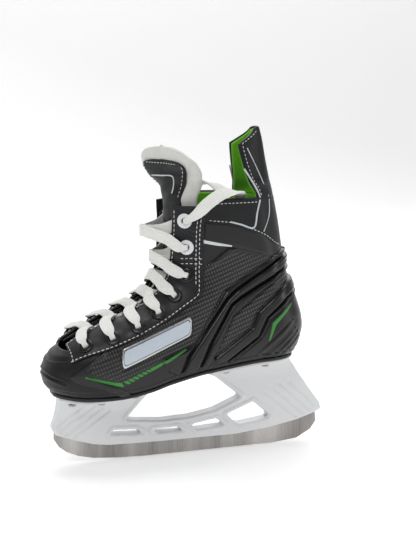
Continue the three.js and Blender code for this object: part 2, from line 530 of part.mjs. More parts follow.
// bolts stand on the runner's lugs; their nuts sit in counterbores under the insole
for (const [where, [x, y]] of [['front', boltSpots[0]], ['rear', boltSpots[1]]]) {
  const seat = flangeTop(x) - NUT_HEIGHT - 1.4 + GAP, foot = LUG_TOP[where] + GAP;
  const bottom = new THREE.Vector3(x, y, foot);
  add(`runner_bolt_${where}`, rod(bottom, UP, BOLT_RADIUS, 0, seat + NUT_HEIGHT + 1 - foot, 12), 'steel');
  add(`runner_nut_${where}`, turned(new THREE.Vector3(x, y, seat), UP, [[BOLT_RADIUS + GAP, 0],
    [NUT_RADIUS, 0], [NUT_RADIUS, NUT_HEIGHT], [BOLT_RADIUS + GAP, NUT_HEIGHT]], 6 * 2), 'steel');
}

// rivets: head under the flange, shank through flange, outsole and board, clenched on top
rivetSpots.forEach(([x, y], i) => {
  const under = flangeTop(x) - FLANGE_THICK - 1.8, top = soleZ(x) + BOARD_BOTTOM + BOARD + 2 * GAP + 1.0;
  const at = new THREE.Vector3(x, y, under), shank = top - under;
  const name = `rivet_${['toe', 'front', 'ball', 'arch', 'heel'][i >> 1]}_${i % 2 ? 'medial' : 'lateral'}`;
  add(name, turned(at, UP, [[0, -0.4], [RIVET_HEAD, -0.4], [RIVET_HEAD, 0.8], [RIVET_RADIUS, 1.2],
    [RIVET_RADIUS, shank - 0.8], [RIVET_HEAD * 0.8, shank - 0.8], [RIVET_HEAD * 0.8, shank], [0, shank]], 8),
  'steel');
});


// ---------------------------------------------------------------- eyelets
// the barrel goes through facing and quarter, and the flange lies on the facing
const FACE = SEAT + EYESTAY;      // the facing's outer surface
const FLANGE_SEAT = FACE + 1.1;   // the flange rides clear of the facing where the instep is hollow
const EYELET_TOP = FLANGE_SEAT + EYELET_LIP;
const EYELET_END = -SHELL - 0.4;
for (const e of eyelets) {
  const r = [EYELET_BORE, EYELET_BARREL, EYELET_FLANGE];
  add(`eyelet_${e.word}_${e.row + 1}`, turned(e.at, e.axis, [[r[0], EYELET_END], [r[1], EYELET_END],
    [r[1], FLANGE_SEAT], [r[2], FLANGE_SEAT], [r[2] - 0.5, EYELET_TOP], [r[0], EYELET_TOP]], 10),
  e.row > 5 ? 'eyeletWhite' : 'eyeletBlack');
}

// ---------------------------------------------------------------- lace
// A ribbon through places { p, n, w }: centre, direction its flat side faces, and width.
function ribbon(places, thick = LACE_THICK) {
  let last = null;
  const rings = places.map(({ p, n, w }, i) => {
    const before = places[Math.max(0, i - 1)].p, after = places[Math.min(places.length - 1, i + 1)].p;
    const along = after.clone().sub(before).normalize();
    const flat = n.clone().addScaledVector(along, -n.dot(along)).normalize();
    if (last && flat.dot(last) < 0) flat.negate();
    last = flat;
    const across = along.clone().cross(flat), a = w / 2, b = thick / 2;
    return [[-a, 0], [-a * 0.8, b], [a * 0.8, b], [a, 0], [a * 0.8, -b], [-a * 0.8, -b]].map(([u, v]) =>
      p.clone().addScaledVector(across, u).addScaledVector(flat, v));
  });
  return loft(rings);
}
const eyelet = (side, row) => eyelets.find(e => e.side === side && e.row === row);
// the h whose point on a line up the boot lies nearest a place
const nearestH = (line, place) => steps(0.28, 1, 360).reduce((best, h) =>
  line(h).distanceTo(place) < line(best).distanceTo(place) ? h : best, 0.5);
for (const e of eyelets) e.edge = nearestH(h => basePoint(h, e.side * throat(h)), e.at);
// places round an eyelet: u toward the throat, d outward, lean turns the flat side
function roundEyelet(e, marks) {
  const toward = basePoint(e.edge, e.side * throat(e.edge)).sub(e.at);
  toward.addScaledVector(e.axis, -toward.dot(e.axis)).normalize();
  return marks.map(([u, d, lean, w]) => ({
    p: e.at.clone().addScaledVector(toward, u).addScaledVector(e.axis, d),
    n: e.axis.clone().multiplyScalar(Math.cos(lean)).addScaledVector(toward, -Math.sin(lean)), w }));
}
const OVER = EYELET_TOP + GAP + LACE_THICK / 2, UNDER = -SHELL - 1.25 - LACE_THICK / 2;
const HALF_WIDE = (LACE_WIDTH + LACE_NECK) / 2;
const onTop = [[4.6, OVER + 0.7, 0, HALF_WIDE], [1.5, OVER + 0.5, Math.PI / 4, LACE_NECK],
  [0, OVER - 1.2, Math.PI / 2, LACE_NECK]];
const below = [[0, EYELET_END, Math.PI / 2, LACE_NECK], [1.2, UNDER - 0.4, Math.PI * 0.75, LACE_NECK],
  [3.6, UNDER - 0.4, Math.PI, HALF_WIDE]];
const LOOSE_TOP = 8;              // slack in the topmost crossing
// a crossing from under the facing at one row, over the tongue, to on top of the facing below:
// share of the way down, place between throat edge (0) and eyelet (1) or middle (-1), side, depth
function crossing(from, to, over, slack) {
  const mix = (m, n, f) => m + (n - m) * f;
  const middle = from.at.clone().add(to.at).multiplyScalar(0.5);
  const ridge = nearestH(h => basePoint(h, 0), middle.setY(swing(0)));
  return [[0.10, 0.40, 1, UNDER - 0.1], [0.2, 0.0, 1, UNDER], [0.34, -0.45, 1, UNDER + 0.3 + slack * 0.5],
    [0.5, -1, 1, (over ? -0.7 : -3.0) + slack], [0.64, -0.45, -1, (over ? 2.2 : 1.3) + slack * 0.6],
    [0.77, -0.1, -1, FACE + 2.1], [0.86, 0.16, -1, FACE + 2.5]].map(([f, share, sign, d]) => {
    const edge = mix(from.edge, to.edge, f), hole = mix(from.h, to.h, f), t = throat(edge);
    const h = share >= 0 ? mix(edge, hole, share) : mix(edge, ridge, -share);
    const q = sign * from.side * (share >= 0 ? mix(t, mix(from.q, to.q, f), share) : t * (1 + share));
    return { p: skin(h, q, d), n: normalAt(h, q), w: LACE_WIDTH };
  });
}
const TOP_ROW = EYELETS.length - 1;
function lacedHalf(side) {
  const list = roundEyelet(eyelet(side, TOP_ROW), [[0, FACE - 1.0, Math.PI / 2, LACE_NECK], ...below]);
  for (let row = TOP_ROW, s = side; row > 0; row--, s = -s) {
    const from = eyelet(s, row), to = eyelet(-s, row - 1);
    list.push(...crossing(from, to, (row % 2 === 0) === (side > 0), row === TOP_ROW && side > 0 ? LOOSE_TOP : 0),
      ...roundEyelet(to, [...onTop, ...below]));
  }
  return list;
}
// across the toe end of the throat, under the facing
function laceBar() {
  const e = eyelet(1, 0), ridge = nearestH(h => basePoint(h, 0), e.at.clone().setY(swing(0)));
  return [1.2, 0.8, 0, -0.8, -1.2].map(k => {
    const h = e.edge + (ridge - e.edge) * (1 - Math.abs(k)) - 0.008, q = throat(h) * k;
    return { p: skin(h, q, UNDER - (k === 0 ? 0.3 : 1.4)), n: normalAt(h, q), w: LACE_WIDTH };
  });
}
const lateralHalf = lacedHalf(1), medialHalf = lacedHalf(-1);
const lastSide = TOP_ROW % 2 === 0 ? 1 : -1;     // the side where the lateral half ends, at the toe
const bar = laceBar();
const laced = [...lateralHalf, ...(lastSide > 0 ? bar : bar.reverse()), ...medialHalf.reverse()];
add('lace', ribbon(laced), 'lace');
const laidLength = laced.reduce((sum, m, i) => i ? sum + m.p.distanceTo(laced[i - 1].p) : 0, 0);
const freeEnd = (LACE_TOTAL - laidLength) / 2;

// each free end comes out of its top eyelet, goes over the collar and lies inside the boot:
// down the ankle wall, forward along the insole's edge, round, and back along its middle
const LINED = SHELL + FOAM + LINER + 2 * LAYER;
const insoleTop = x => soleZ(X(x)) + INSOLE_BOTTOM + RIVET_CLENCH + INSOLE;
function freeRoute(side) {
  const e = eyelet(side, TOP_ROW), w = LACE_WIDTH;
  const start = roundEyelet(e, [[0, FACE - 0.65, Math.PI / 2, LACE_NECK], [0, OVER - 1.6, Math.PI / 2, LACE_NECK],
    [-1.2, OVER + 0.3, -Math.PI / 4, LACE_NECK]]);
  const out = side > 0 ? -1 : 1, top = Z(198), y = v => out * v * SY + swing(1);
  const marks = [[-5, 36, top - 9, 0, 1, 0.15], [3, 38.6, top - 1, -0.1, 1, 0.35], [13, 37.6, top + 5, 0, 1, 0.7],
    [23, 33.6, top + 6.6, 0, 0.5, 1], [30, 28, top + 4.6, 0, -0.4, 1], [34, 20.8, top - 0.3, 0, -1, 0.5],
    [36, 19.4, top - 10, 0, -1, 0], [37, 19.2, Z(160), 0, -1, 0], [36, 19.0, Z(130), 0, -1, 0],
    [32, 18.8, insoleTop(32) + 20, 0, -1, 0.2], [25, 17.2, insoleTop(25) + 6, 0.5, -0.6, 0.7]];
  const lie = 0.9 + LACE_THICK / 2;
  for (const [x, v] of [[14, 15.6], [-6, 15.2], [-26, 15.6], [-46, 16.2], [-62, 15.6], [-72, 12.5],
    [-77, 8.5], [-72, 5.4], [-58, 5.4], [-38, 5.2], [-18, 5.4], [2, 5.6], [22, 5.6], [42, 5.6]])
    marks.push([x, v, insoleTop(x) + lie, 0, 0, 1]);
  const curvePoints = marks.map(([x, v, z]) => new THREE.Vector3(X(x), y(v), z));
  const path = new THREE.CatmullRomCurve3([start[2].p, ...curvePoints], false, 'centripetal');
  const length = path.getLength(), want = Math.min(length, freeEnd - AGLET_LENGTH), places = [...start];
  const pieces = 44;
  for (let i = 1; i <= pieces; i++) {
    const t = path.getUtoTmapping(want / length * i / pieces), k = t * curvePoints.length;
    const a = marks[Math.max(0, Math.min(marks.length - 1, Math.floor(k) - 1))];
    const b = marks[Math.min(marks.length - 1, Math.floor(k))], f = k < 1 ? 1 : k - Math.floor(k);
    const n = new THREE.Vector3(a[3] + (b[3] - a[3]) * f, out * (a[4] + (b[4] - a[4]) * f), a[5] + (b[5] - a[5]) * f);
    const grow = Math.min(1, (i + 1) / 3), shrink = i === pieces ? 0.36 : i === pieces - 1 ? 0.75 : 1;
    places.push({ p: path.getPoint(t), n, w: w * grow * shrink });
  }
  return places;
}
for (const [side, word] of [[1, 'lateral'], [-1, 'medial']]) {
  const places = freeRoute(side), [a, b] = places.slice(-2).map(m => m.p);
  add(`lace_end_${word}`, ribbon(places), 'lace');
  const along = b.clone().sub(a).normalize();
  along.z = Math.max(along.z, 0.02);
  add(`aglet_${word}`, rod(b.clone().addScaledVector(along, GAP).add(new THREE.Vector3(0, 0, 0.8)),
    along.normalize(), 1.6, 0, AGLET_LENGTH, 8), 'eyeletBlack');
}

// ---------------------------------------------------------------- badges on the quarters
const BADGE_THICK = 0.8;
const BADGE = [[-61.2, 78.6], [-61.2, 92.3], [-9.0, 100.0], [-8.8, 113.3]];    // low and high, toe then heel
for (const [side, word] of [[1, 'lateral'], [-1, 'medial']]) {
  const [a, b, c, d] = BADGE.map(([x, z]) => locate(x, z));
  const mix = (m, n, f) => [m[0] + (n[0] - m[0]) * f, m[1] + (n[1] - m[1]) * f];
  add(`badge_${word}`, loft(steps(0, 1, 8).map(f => {
    const low = mix(a, c, f), high = mix(b, d, f);
    const line = steps(0, 1, 3).map(k => mix(low, high, k));
    return [...line.map(([h, q]) => skin(h, side * q, GAP + BADGE_THICK)),
      ...line.map(([h, q]) => skin(h, side * q, GAP)).reverse()];
  })), 'badge');
}

export default skate;
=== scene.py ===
"""Looks for the left youth hockey skate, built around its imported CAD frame."""
import math
import bmesh
import bpy
import numpy as np
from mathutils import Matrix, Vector


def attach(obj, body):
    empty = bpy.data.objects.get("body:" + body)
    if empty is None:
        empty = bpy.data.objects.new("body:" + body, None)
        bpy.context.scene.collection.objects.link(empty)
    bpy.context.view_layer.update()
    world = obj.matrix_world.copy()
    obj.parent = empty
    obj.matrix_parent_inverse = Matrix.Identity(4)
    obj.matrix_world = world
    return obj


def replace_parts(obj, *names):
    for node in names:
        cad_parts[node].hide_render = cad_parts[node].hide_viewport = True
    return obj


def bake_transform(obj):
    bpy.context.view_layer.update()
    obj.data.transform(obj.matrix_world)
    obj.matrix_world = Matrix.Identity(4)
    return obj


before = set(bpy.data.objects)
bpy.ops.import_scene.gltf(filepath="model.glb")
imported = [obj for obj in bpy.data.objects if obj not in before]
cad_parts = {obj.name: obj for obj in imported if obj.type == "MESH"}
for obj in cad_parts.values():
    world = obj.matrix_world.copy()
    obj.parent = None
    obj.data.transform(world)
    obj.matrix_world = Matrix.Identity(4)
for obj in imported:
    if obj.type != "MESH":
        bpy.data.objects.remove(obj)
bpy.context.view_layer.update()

# ------------------------------------------------------------------ the boot's surface, in mm
# The same family of loops as the CAD: h climbs from the sole to the collar, and q runs round
# the boot, 0 at the front, 1 at the back, positive on the lateral side (-Y).
LOOPS = np.array([
    [0.00, -107.0, 56.5, 82.0, 76.0, 33.5, 25.0, 0.31, 0.15],
    [0.06, -112.0, 62.5, 86.0, 82.0, 36.8, 28.0, 0.30, 0.15],
    [0.14, -113.5, 71.5, 88.5, 90.0, 38.0, 29.4, 0.29, 0.155],
    [0.22, -110.0, 81.0, 89.8, 97.5, 37.8, 29.8, 0.28, 0.16],
    [0.30, -100.5, 89.3, 88.8, 105.5, 37.0, 29.6, 0.27, 0.165],
    [0.40, -86.5, 98.0, 85.6, 116.0, 35.6, 29.2, 0.28, 0.175],
    [0.50, -68.5, 106.3, 81.8, 126.0, 34.2, 28.8, 0.30, 0.19],
    [0.60, -49.5, 114.5, 77.6, 136.0, 32.8, 28.6, 0.34, 0.215],
    [0.70, -32.0, 127.5, 74.0, 147.0, 31.4, 28.8, 0.38, 0.25],
    [0.80, -24.5, 147.0, 71.6, 158.5, 30.6, 29.4, 0.40, 0.29],
    [0.90, -23.5, 172.0, 68.4, 178.5, 30.8, 30.2, 0.40, 0.32],
    [1.00, -24.5, 198.0, 64.5, 198.0, 31.4, 30.6, 0.40, 0.34],
    [1.25, -31.0, 212.0, 62.4, 212.0, 33.0, 20.0, 0.36, 0.34],
    [1.50, -36.0, 226.0, 59.9, 226.0, 34.0, 14.5, 0.36, 0.32],
    [1.75, -40.0, 240.0, 57.6, 240.0, 33.0, 10.5, 0.36, 0.29],
    [1.92, -42.0, 250.0, 55.0, 250.0, 32.0, 8.0, 0.36, 0.27]])
SOLE_DIP = np.array([[0, 0], [0.12, -3.4], [0.25, -4.4], [0.36, -2.8], [0.45, 0.2], [0.6, 2.4],
                     [0.8, 2.6], [1, 0]])
THROAT = np.array([[0.2, 9], [0.4, 10], [0.6, 13], [0.8, 17.5], [1, 20.5]])
THROAT_TOE_X = -96.0
EYESTAY_EDGE = np.array([[0.215, -98], [0.26, -87], [0.33, -63.5], [0.395, -47], [0.50, -27],
                         [0.60, -12], [0.68, 0.5], [0.8, 1.6], [0.9, 2], [0.98, 4]])
CAP_EDGE = np.array([[0, -61], [0.06, -73], [0.12, -94], [0.15, -97], [0.22, -88], [0.30, -77]])
RIM = np.array([[-3, 185], [3.5, 182], [22.4, 179.5], [39.4, 174.0], [50.5, 169.0], [60, 162.0],
                [80, 152.0]])
GUARD_EDGE = np.array([[0.74, 34], [0.80, 38], [0.90, 44], [1.0, 45.5], [1.25, 42], [1.5, 38.5],
                       [1.75, 36.5], [1.92, 42]])
PAD_EDGE = np.array([[0.3, -60], [0.34, -36], [0.5, -14], [0.6, -2], [0.68, 5], [0.8, 7], [1, 8]])
EYELETS = [(-84.5, 92.8), (-66.2, 98.8), (-47.8, 106.4), (-31.6, 115.0), (-17.8, 127.0),
           (-8.6, 142.8), (-8.4, 163.8), (-9.6, 183.4)]
SHELL, EYESTAY, SEAT, FOAM, LINER, LAYER, GAP = 2.2, 1.3, 0.7, 2.5, 1.3, 1.0, 0.3
TONGUE, TONGUE_DEPTH = 4.0, 6.5
FACE = SEAT + EYESTAY


def curve(keys, col, t):
    """Monotone cubic through keys[:, 0] -> keys[:, col], held at the ends."""
    keys = np.asarray(keys, float)
    x, y = keys[:, 0], keys[:, col]
    t = np.clip(np.asarray(t, float), x[0], x[-1])
    slope = np.diff(y) / np.diff(x)
    m = np.empty_like(y)
    m[0], m[-1] = slope[0], slope[-1]
    a, b = slope[:-1], slope[1:]
    with np.errstate(divide="ignore", invalid="ignore"):
        m[1:-1] = np.where(a * b <= 0, 0, 2 * a * b / (a + b))
    i = np.clip(np.searchsorted(x, t, side="right") - 1, 0, len(x) - 2)
    w = x[i + 1] - x[i]
    u = (t - x[i]) / w
    return (y[i] * (1 + 2 * u) * (1 - u) ** 2 + w * m[i] * u * (1 - u) ** 2
            + y[i + 1] * u * u * (3 - 2 * u) - w * m[i + 1] * u * u * (1 - u))


def smooth(t):
    t = np.clip(t, 0, 1)
    return t * t * (3 - 2 * t)


def bulge(t):
    return (1 - (1 - np.clip(t, 0, 1)) ** 2.2) ** (1 / 2.2)


def half_width(h, s):
    ball, heel = curve(LOOPS, 5, h), curve(LOOPS, 6, h)
    a, b = curve(LOOPS, 7, h), curve(LOOPS, 8, h)
    return (ball + (heel - ball) * smooth((s - a) / (1 - a - b))) * bulge(s / a) * bulge((1 - s) / b)


def loop_xz(h, s):
    dip = curve(SOLE_DIP, 1, s) * np.maximum(0, 1 - h / 0.35) ** 1.5
    fx, fz = curve(LOOPS, 1, h), curve(LOOPS, 2, h)
    return fx + (curve(LOOPS, 3, h) - fx) * s, fz + (curve(LOOPS, 4, h) - fz) * s + dip


def swing(s):
    return 3.0 * (np.maximum(0, 0.7 - s) / 0.7) ** 2 - 0.6


def share_of(q):
    return (1 - np.cos(np.pi * q)) / 2


def round_of(s):
    return np.arccos(1 - 2 * np.clip(s, 0, 1)) / np.pi


def base_point(h, q):
    h, q = np.broadcast_arrays(np.asarray(h, float), np.asarray(q, float))
    s = share_of(q)
    x, z = loop_xz(h, s)
    side = np.where(np.mod(q, 2) <= 1, -1.0, 1.0)
    return np.stack([x, side * half_width(h, s) + swing(s), z], -1)


def normal_at(h, q):
    e = 0.004
    along = base_point(h, q + e) - base_point(h, q - e)
    up = base_point(h + e, q) - base_point(np.maximum(0, h - e), q)
    n = np.cross(along, up)
    n /= np.linalg.norm(n, axis=-1, keepdims=True)
    x, z = loop_xz(h, np.full(np.shape(h), 0.5))
    out = base_point(h, q) - np.stack([x, np.zeros_like(x), z], -1)
    flip = np.sum(n * out, -1, keepdims=True) < 0
    return np.where(flip, -n, n)


def skin(h, q, d=0.0):
    h, q = np.broadcast_arrays(np.asarray(h, float), np.asarray(q, float))
    d = np.asarray(d, float)
    return base_point(h, q) + normal_at(h, q) * (d[..., None] if d.ndim else d)


def round_at_x(h, x):
    x0, x1 = loop_xz(h, 0.0)[0], loop_xz(h, 1.0)[0]
    return round_of((x - x0) / (x1 - x0))


def throat(h):
    h = np.asarray(h, float)
    lo, hi = np.zeros(h.shape), np.full(h.shape, 0.3)
    want = curve(THROAT, 1, h)
    for _ in range(24):
        mid = (lo + hi) / 2
        low = half_width(h, share_of(mid)) < want
        lo, hi = np.where(low, mid, lo), np.where(low, hi, mid)
    return np.maximum(lo, np.where(h < 0.4, round_at_x(h, THROAT_TOE_X), 0))


def eyestay_edge(h):
    return round_at_x(h, curve(EYESTAY_EDGE, 1, h))


def cap_edge(h):
    return round_at_x(h, curve(CAP_EDGE, 1, h))


def guard_edge(h):
    return round_at_x(h, curve(GUARD_EDGE, 1, h))


def pad_front(h):
    return round_at_x(h, curve(PAD_EDGE, 1, h))


def gap_round(h, q, mm):
    step = np.linalg.norm(base_point(h, q + 0.01) - base_point(h, q - 0.01), axis=-1)
    return mm / step * 0.02


def locate(x, z):
    """h and q of points seen from the side."""
    x, z = np.asarray(x, float), np.asarray(z, float)
    lo, hi = np.zeros(x.shape), np.full(x.shape, 1.9)
    for _ in range(30):
        h = (lo + hi) / 2
        low = loop_xz(h, share_of(round_at_x(h, x)))[1] < z
        lo, hi = np.where(low, h, lo), np.where(low, hi, h)
    return lo, round_at_x(lo, x)


# ------------------------------------------------------------------ camera, first
VIEW_AZ, VIEW_EL, VIEW_FAR = math.radians(-18), math.radians(10), 1.0
AIM = Vector((0.0155, 0.0, 0.1355))
camera = bpy.data.objects.new("camera", bpy.data.cameras.new("camera"))
bpy.context.scene.collection.objects.link(camera)
camera.location = AIM + VIEW_FAR * Vector((math.sin(VIEW_AZ) * math.cos(VIEW_EL),
                                           -math.cos(VIEW_AZ) * math.cos(VIEW_EL), math.sin(VIEW_EL)))
camera.rotation_euler = (AIM - camera.location).to_track_quat("-Z", "Y").to_euler()
camera.data.lens, camera.data.sensor_width = 85.3, 36.0
camera.data.clip_start = 0.05
bpy.context.scene.camera = camera


# ------------------------------------------------------------------ mesh helpers
def make_mesh(name, points, faces, material, body="boot", smooth_shade=True, masks=None):
    mesh = bpy.data.meshes.new(name)
    mesh.from_pydata((np.asarray(points) * 0.001).tolist(), [], [list(map(int, f)) for f in faces])
    mesh.validate()
    bm = bmesh.new()
    bm.from_mesh(mesh)
    bmesh.ops.recalc_face_normals(bm, faces=bm.faces)
    bm.to_mesh(mesh)
    bm.free()
    if smooth_shade:
        mesh.polygons.foreach_set("use_smooth", [True] * len(mesh.polygons))
    for key, values in (masks or {}).items():
        layer = mesh.attributes.new(key, "FLOAT", "POINT")
        layer.data.foreach_set("value", np.asarray(values, np.float32).ravel())
    mesh.materials.append(material)
    obj = bpy.data.objects.new(name, mesh)
    bpy.context.scene.collection.objects.link(obj)
    if body:
        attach(obj, body)
    return obj


def grid_faces(rows, cols, start=0, wrap=False):
    i, j = np.meshgrid(np.arange(rows - 1), np.arange(cols if wrap else cols - 1), indexing="ij")
    a = start + i * cols + j
    b = start + i * cols + (j + 1) % cols
    return np.stack([a, b, b + cols, a + cols], -1).reshape(-1, 4)


def slab_mesh(outer, inner, round_by=0.45):
    """A closed sheet from two point grids of one shape, with rolled edges."""
    rows, cols = outer.shape[:2]
    n = rows * cols
    idx = np.arange(n).reshape(rows, cols)
    border = np.concatenate([idx[0, :], idx[1:, -1], idx[-1, -2::-1], idx[-2:0:-1, 0]])
    inward = np.concatenate([idx[1, :], idx[1:, -2], idx[-2, -2::-1], idx[-2:0:-1, 1]])
    o, i = outer.reshape(-1, 3), inner.reshape(-1, 3)
    out = o[border] - o[inward]
    length = np.linalg.norm(out, axis=1, keepdims=True)
    out /= np.maximum(length, 1e-6)
    thick = np.linalg.norm(o[border] - i[border], axis=1, keepdims=True)
    rings = []
    for k in (0.2, 0.5, 0.8):
        push = out * thick * round_by * math.sin(math.pi * k) ** 0.7
        rings.append(o[border] * (1 - k) + i[border] * k + push)
    points = np.concatenate([o, i] + rings)
    m = len(border)
    faces = [grid_faces(rows, cols), grid_faces(rows, cols, n)[:, ::-1]]
    chain = [border] + [2 * n + r * m + np.arange(m) for r in range(3)] + [border + n]
    for a, b in zip(chain[:-1], chain[1:]):
        a2, b2 = np.roll(a, -1), np.roll(b, -1)
        faces.append(np.stack([a, a2, b2, b], -1))
    return points, np.concatenate(faces)


def slab(hs, q_from, q_to, cols, inner, outer, lift=None):
    """Points of a boot layer: rows at hs, columns between two edges, at two depths."""
    hs = np.asarray(hs, float)
    a, b = q_from(hs)[:, None], q_to(hs)[:, None]
    q = a + (b - a) * np.linspace(0, 1, cols)[None, :]
    h = np.repeat(hs[:, None], cols, 1)
    base, n = base_point(h, q), normal_at(h, q)
    up = lift(base) if lift else 0.0
    high = np.full(h.shape, float(outer)) + up
    return base + n * high[..., None], base + n * inner, h, q


def dist_to_line(x, z, line):
    """Distance of side-view points to a polyline, its side (+ left of travel), and place along."""
    best = np.full(x.shape, 1e9)
    side, along, run = np.zeros(x.shape), np.zeros(x.shape), 0.0
    for (x0, z0), (x1, z1) in zip(line[:-1], line[1:]):
        dx, dz = x1 - x0, z1 - z0
        length = math.hypot(dx, dz)
        t = np.clip(((x - x0) * dx + (z - z0) * dz) / length ** 2, 0, 1)
        d = np.hypot(x - x0 - t * dx, z - z0 - t * dz)
        near = d < best
        best = np.where(near, d, best)
        side = np.where(near, np.sign(dx * (z - z0) - dz * (x - x0)), side)
        along = np.where(near, run + t * length, along)
        run += length
    return best, side, along, run


def inside(x, z, polygon):
    """Signed distance to a side-view polygon, positive inside."""
    d = dist_to_line(x, z, polygon + [polygon[0]])[0]
    hit = np.zeros(x.shape, bool)
    for (x0, z0), (x1, z1) in zip(polygon, polygon[1:] + [polygon[0]]):
        if z0 == z1:
            continue
        cross = ((z0 > z) != (z1 > z)) & (x < (x1 - x0) * (z - z0) / (z1 - z0) + x0)
        hit ^= cross
    return np.where(hit, d, -d)


# ------------------------------------------------------------------ materials
class Look:
    """A short way to build one node material."""

    def __init__(self, name, color, rough=0.5, metal=0.0, spec=0.5):
        self.mat = bpy.data.materials.new(name)
        self.mat.use_nodes = True
        self.nodes, self.links = self.mat.node_tree.nodes, self.mat.node_tree.links
        self.bsdf = self.nodes["Principled BSDF"]
        self.bsdf.inputs["Base Color"].default_value = (*color, 1)
        self.bsdf.inputs["Roughness"].default_value = rough
        self.bsdf.inputs["Metallic"].default_value = metal
        self.bsdf.inputs["Specular IOR Level"].default_value = spec
        self.coords = self.nodes.new("ShaderNodeTexCoord").outputs["Object"]
        self.bump_from = None

    def node(self, kind, **settings):
        n = self.nodes.new("ShaderNode" + kind)
        for key, value in settings.items():
            if key in n.inputs:
                n.inputs[key].default_value = value
            else:
                setattr(n, key, value)
        return n

    def scaled(self, scale):
        m = self.node("Mapping")
        m.inputs["Scale"].default_value = scale if hasattr(scale, "__len__") else (scale,) * 3
        self.links.new(self.coords, m.inputs["Vector"])
        return m.outputs["Vector"]

    def noise(self, scale, detail=4.0, rough=0.6, stretch=None):
        n = self.node("TexNoise")
        n.inputs["Scale"].default_value = scale
        n.inputs["Detail"].default_value = detail
        n.inputs["Roughness"].default_value = rough
        self.links.new(self.scaled(stretch) if stretch else self.coords, n.inputs["Vector"])
        return n.outputs["Fac"]

    def voronoi(self, scale, feature="F1", stretch=None):
        n = self.node("TexVoronoi")
        n.feature = feature
        n.inputs["Scale"].default_value = scale
        self.links.new(self.scaled(stretch) if stretch else self.coords, n.inputs["Vector"])
        return n.outputs["Distance"]

    def wave(self, scale, turn=(0, 0, 0), direction="X", distort=0.0):
        m = self.node("Mapping")
        m.inputs["Rotation"].default_value = turn
        self.links.new(self.coords, m.inputs["Vector"])
        n = self.node("TexWave")
        n.bands_direction = direction
        n.inputs["Scale"].default_value = scale
        n.inputs["Distortion"].default_value = distort
        self.links.new(m.outputs["Vector"], n.inputs["Vector"])
        return n.outputs["Fac"]

    def mask(self, name):
        n = self.node("Attribute")
        n.attribute_name = name
        return n.outputs["Fac"]

    def ramp(self, source, a, b, low=0.0, high=1.0):
        n = self.node("MapRange")
        for key, value in (("From Min", a), ("From Max", b), ("To Min", low), ("To Max", high)):
            n.inputs[key].default_value = value
        self.links.new(source, n.inputs["Value"])
        return n.outputs["Result"]

    def math(self, op, a, b):
        n = self.node("Math")
        n.operation = op
        for socket, v in zip(n.inputs, (a, b)):
            if isinstance(v, (int, float)):
                socket.default_value = v
            else:
                self.links.new(v, socket)
        return n.outputs[0]

    def mix(self, fac, a, b):
        n = self.node("Mix")
        n.data_type = "RGBA"
        for socket, v in ((n.inputs["Factor"], fac), (n.inputs[6], a), (n.inputs[7], b)):
            if isinstance(v, (int, float)):
                socket.default_value = v
            elif hasattr(v, "__len__"):
                socket.default_value = (*v, 1)
            else:
                self.links.new(v, socket)
        return n.outputs[2]

    def color(self, source):
        self.links.new(source, self.bsdf.inputs["Base Color"])

    def rough(self, source):
        self.links.new(source, self.bsdf.inputs["Roughness"])

    def bump(self, source, height, strength=1.0):
        n = self.node("Bump")
        n.inputs["Strength"].default_value = strength
        n.inputs["Distance"].default_value = height
        self.links.new(source, n.inputs["Height"])
        if self.bump_from:
            self.links.new(self.bump_from, n.inputs["Normal"])
        self.bump_from = n.outputs["Normal"]
        self.links.new(self.bump_from, self.bsdf.inputs["Normal"])


def shell_look():
    m = Look("moulded_shell", (0.012, 0.012, 0.013), 0.32, spec=0.45)
    weave = m.math("MULTIPLY", m.wave(150, (0, math.radians(20), 0)), m.wave(105, (0, math.radians(-70), 0)))
    carbon = m.math("MULTIPLY", m.mask("carbon"), weave)
    base = m.mix(m.noise(60, 3), (0.006, 0.006, 0.0065), (0.010, 0.010, 0.011))
    base = m.mix(m.math("MULTIPLY", carbon, 0.9), base, (0.085, 0.085, 0.08))
    m.color(base)
    dull = m.ramp(m.noise(240, 3), 0.3, 0.7, 0.28, 0.4)
    shiny = m.mask("gloss")
    keep = m.math("MULTIPLY", dull, m.math("SUBTRACT", 1.0, shiny))
    m.rough(m.math("ADD", keep, m.math("MULTIPLY", shiny, 0.2)))
    m.bump(m.noise(1900, 2), 0.00012, 0.35)
    m.bump(carbon, 0.00035, 0.9)
    return m.mat


def leather_look(name, color, rough=0.5, grain=1.0):
    m = Look(name, color, rough, spec=0.32)
    lighter = tuple(min(1, c * 1.5 + 0.002) for c in color)
    m.color(m.mix(m.noise(90, 4), color, lighter))
    m.rough(m.ramp(m.noise(300, 3), 0.3, 0.7, rough - 0.06, rough + 0.1))
    m.bump(m.voronoi(900), 0.0002, 0.35 * grain)
    m.bump(m.noise(1500, 3), 0.0001, 0.3 * grain)
    return m.mat


def felt_look():
    m = Look("felt", (0.62, 0.62, 0.58), 0.95, spec=0.2)
    speck = m.ramp(m.noise(700, 5, 0.75), 0.36, 0.44, 1.0, 0.0)
    base = m.mix(m.noise(120, 5, 0.7), (0.62, 0.62, 0.585), (0.80, 0.80, 0.765))
    m.color(m.mix(m.math("MULTIPLY", speck, 0.35), base, (0.45, 0.45, 0.43)))
    m.bsdf.inputs["Sheen Weight"].default_value = 0.4
    m.bump(m.noise(900, 6, 0.8), 0.0006, 0.6)
    m.bump(m.noise(140, 3), 0.0012, 0.4)
    return m.mat


def lining_look():
    m = Look("green_lining", (0.12, 0.42, 0.012), 0.9, spec=0.2)
    m.color(m.mix(m.noise(400, 4), (0.10, 0.37, 0.008), (0.17, 0.52, 0.02)))
    m.bsdf.inputs["Sheen Weight"].default_value = 0.3
    m.bump(m.voronoi(1400), 0.0003, 0.5)
    return m.mat


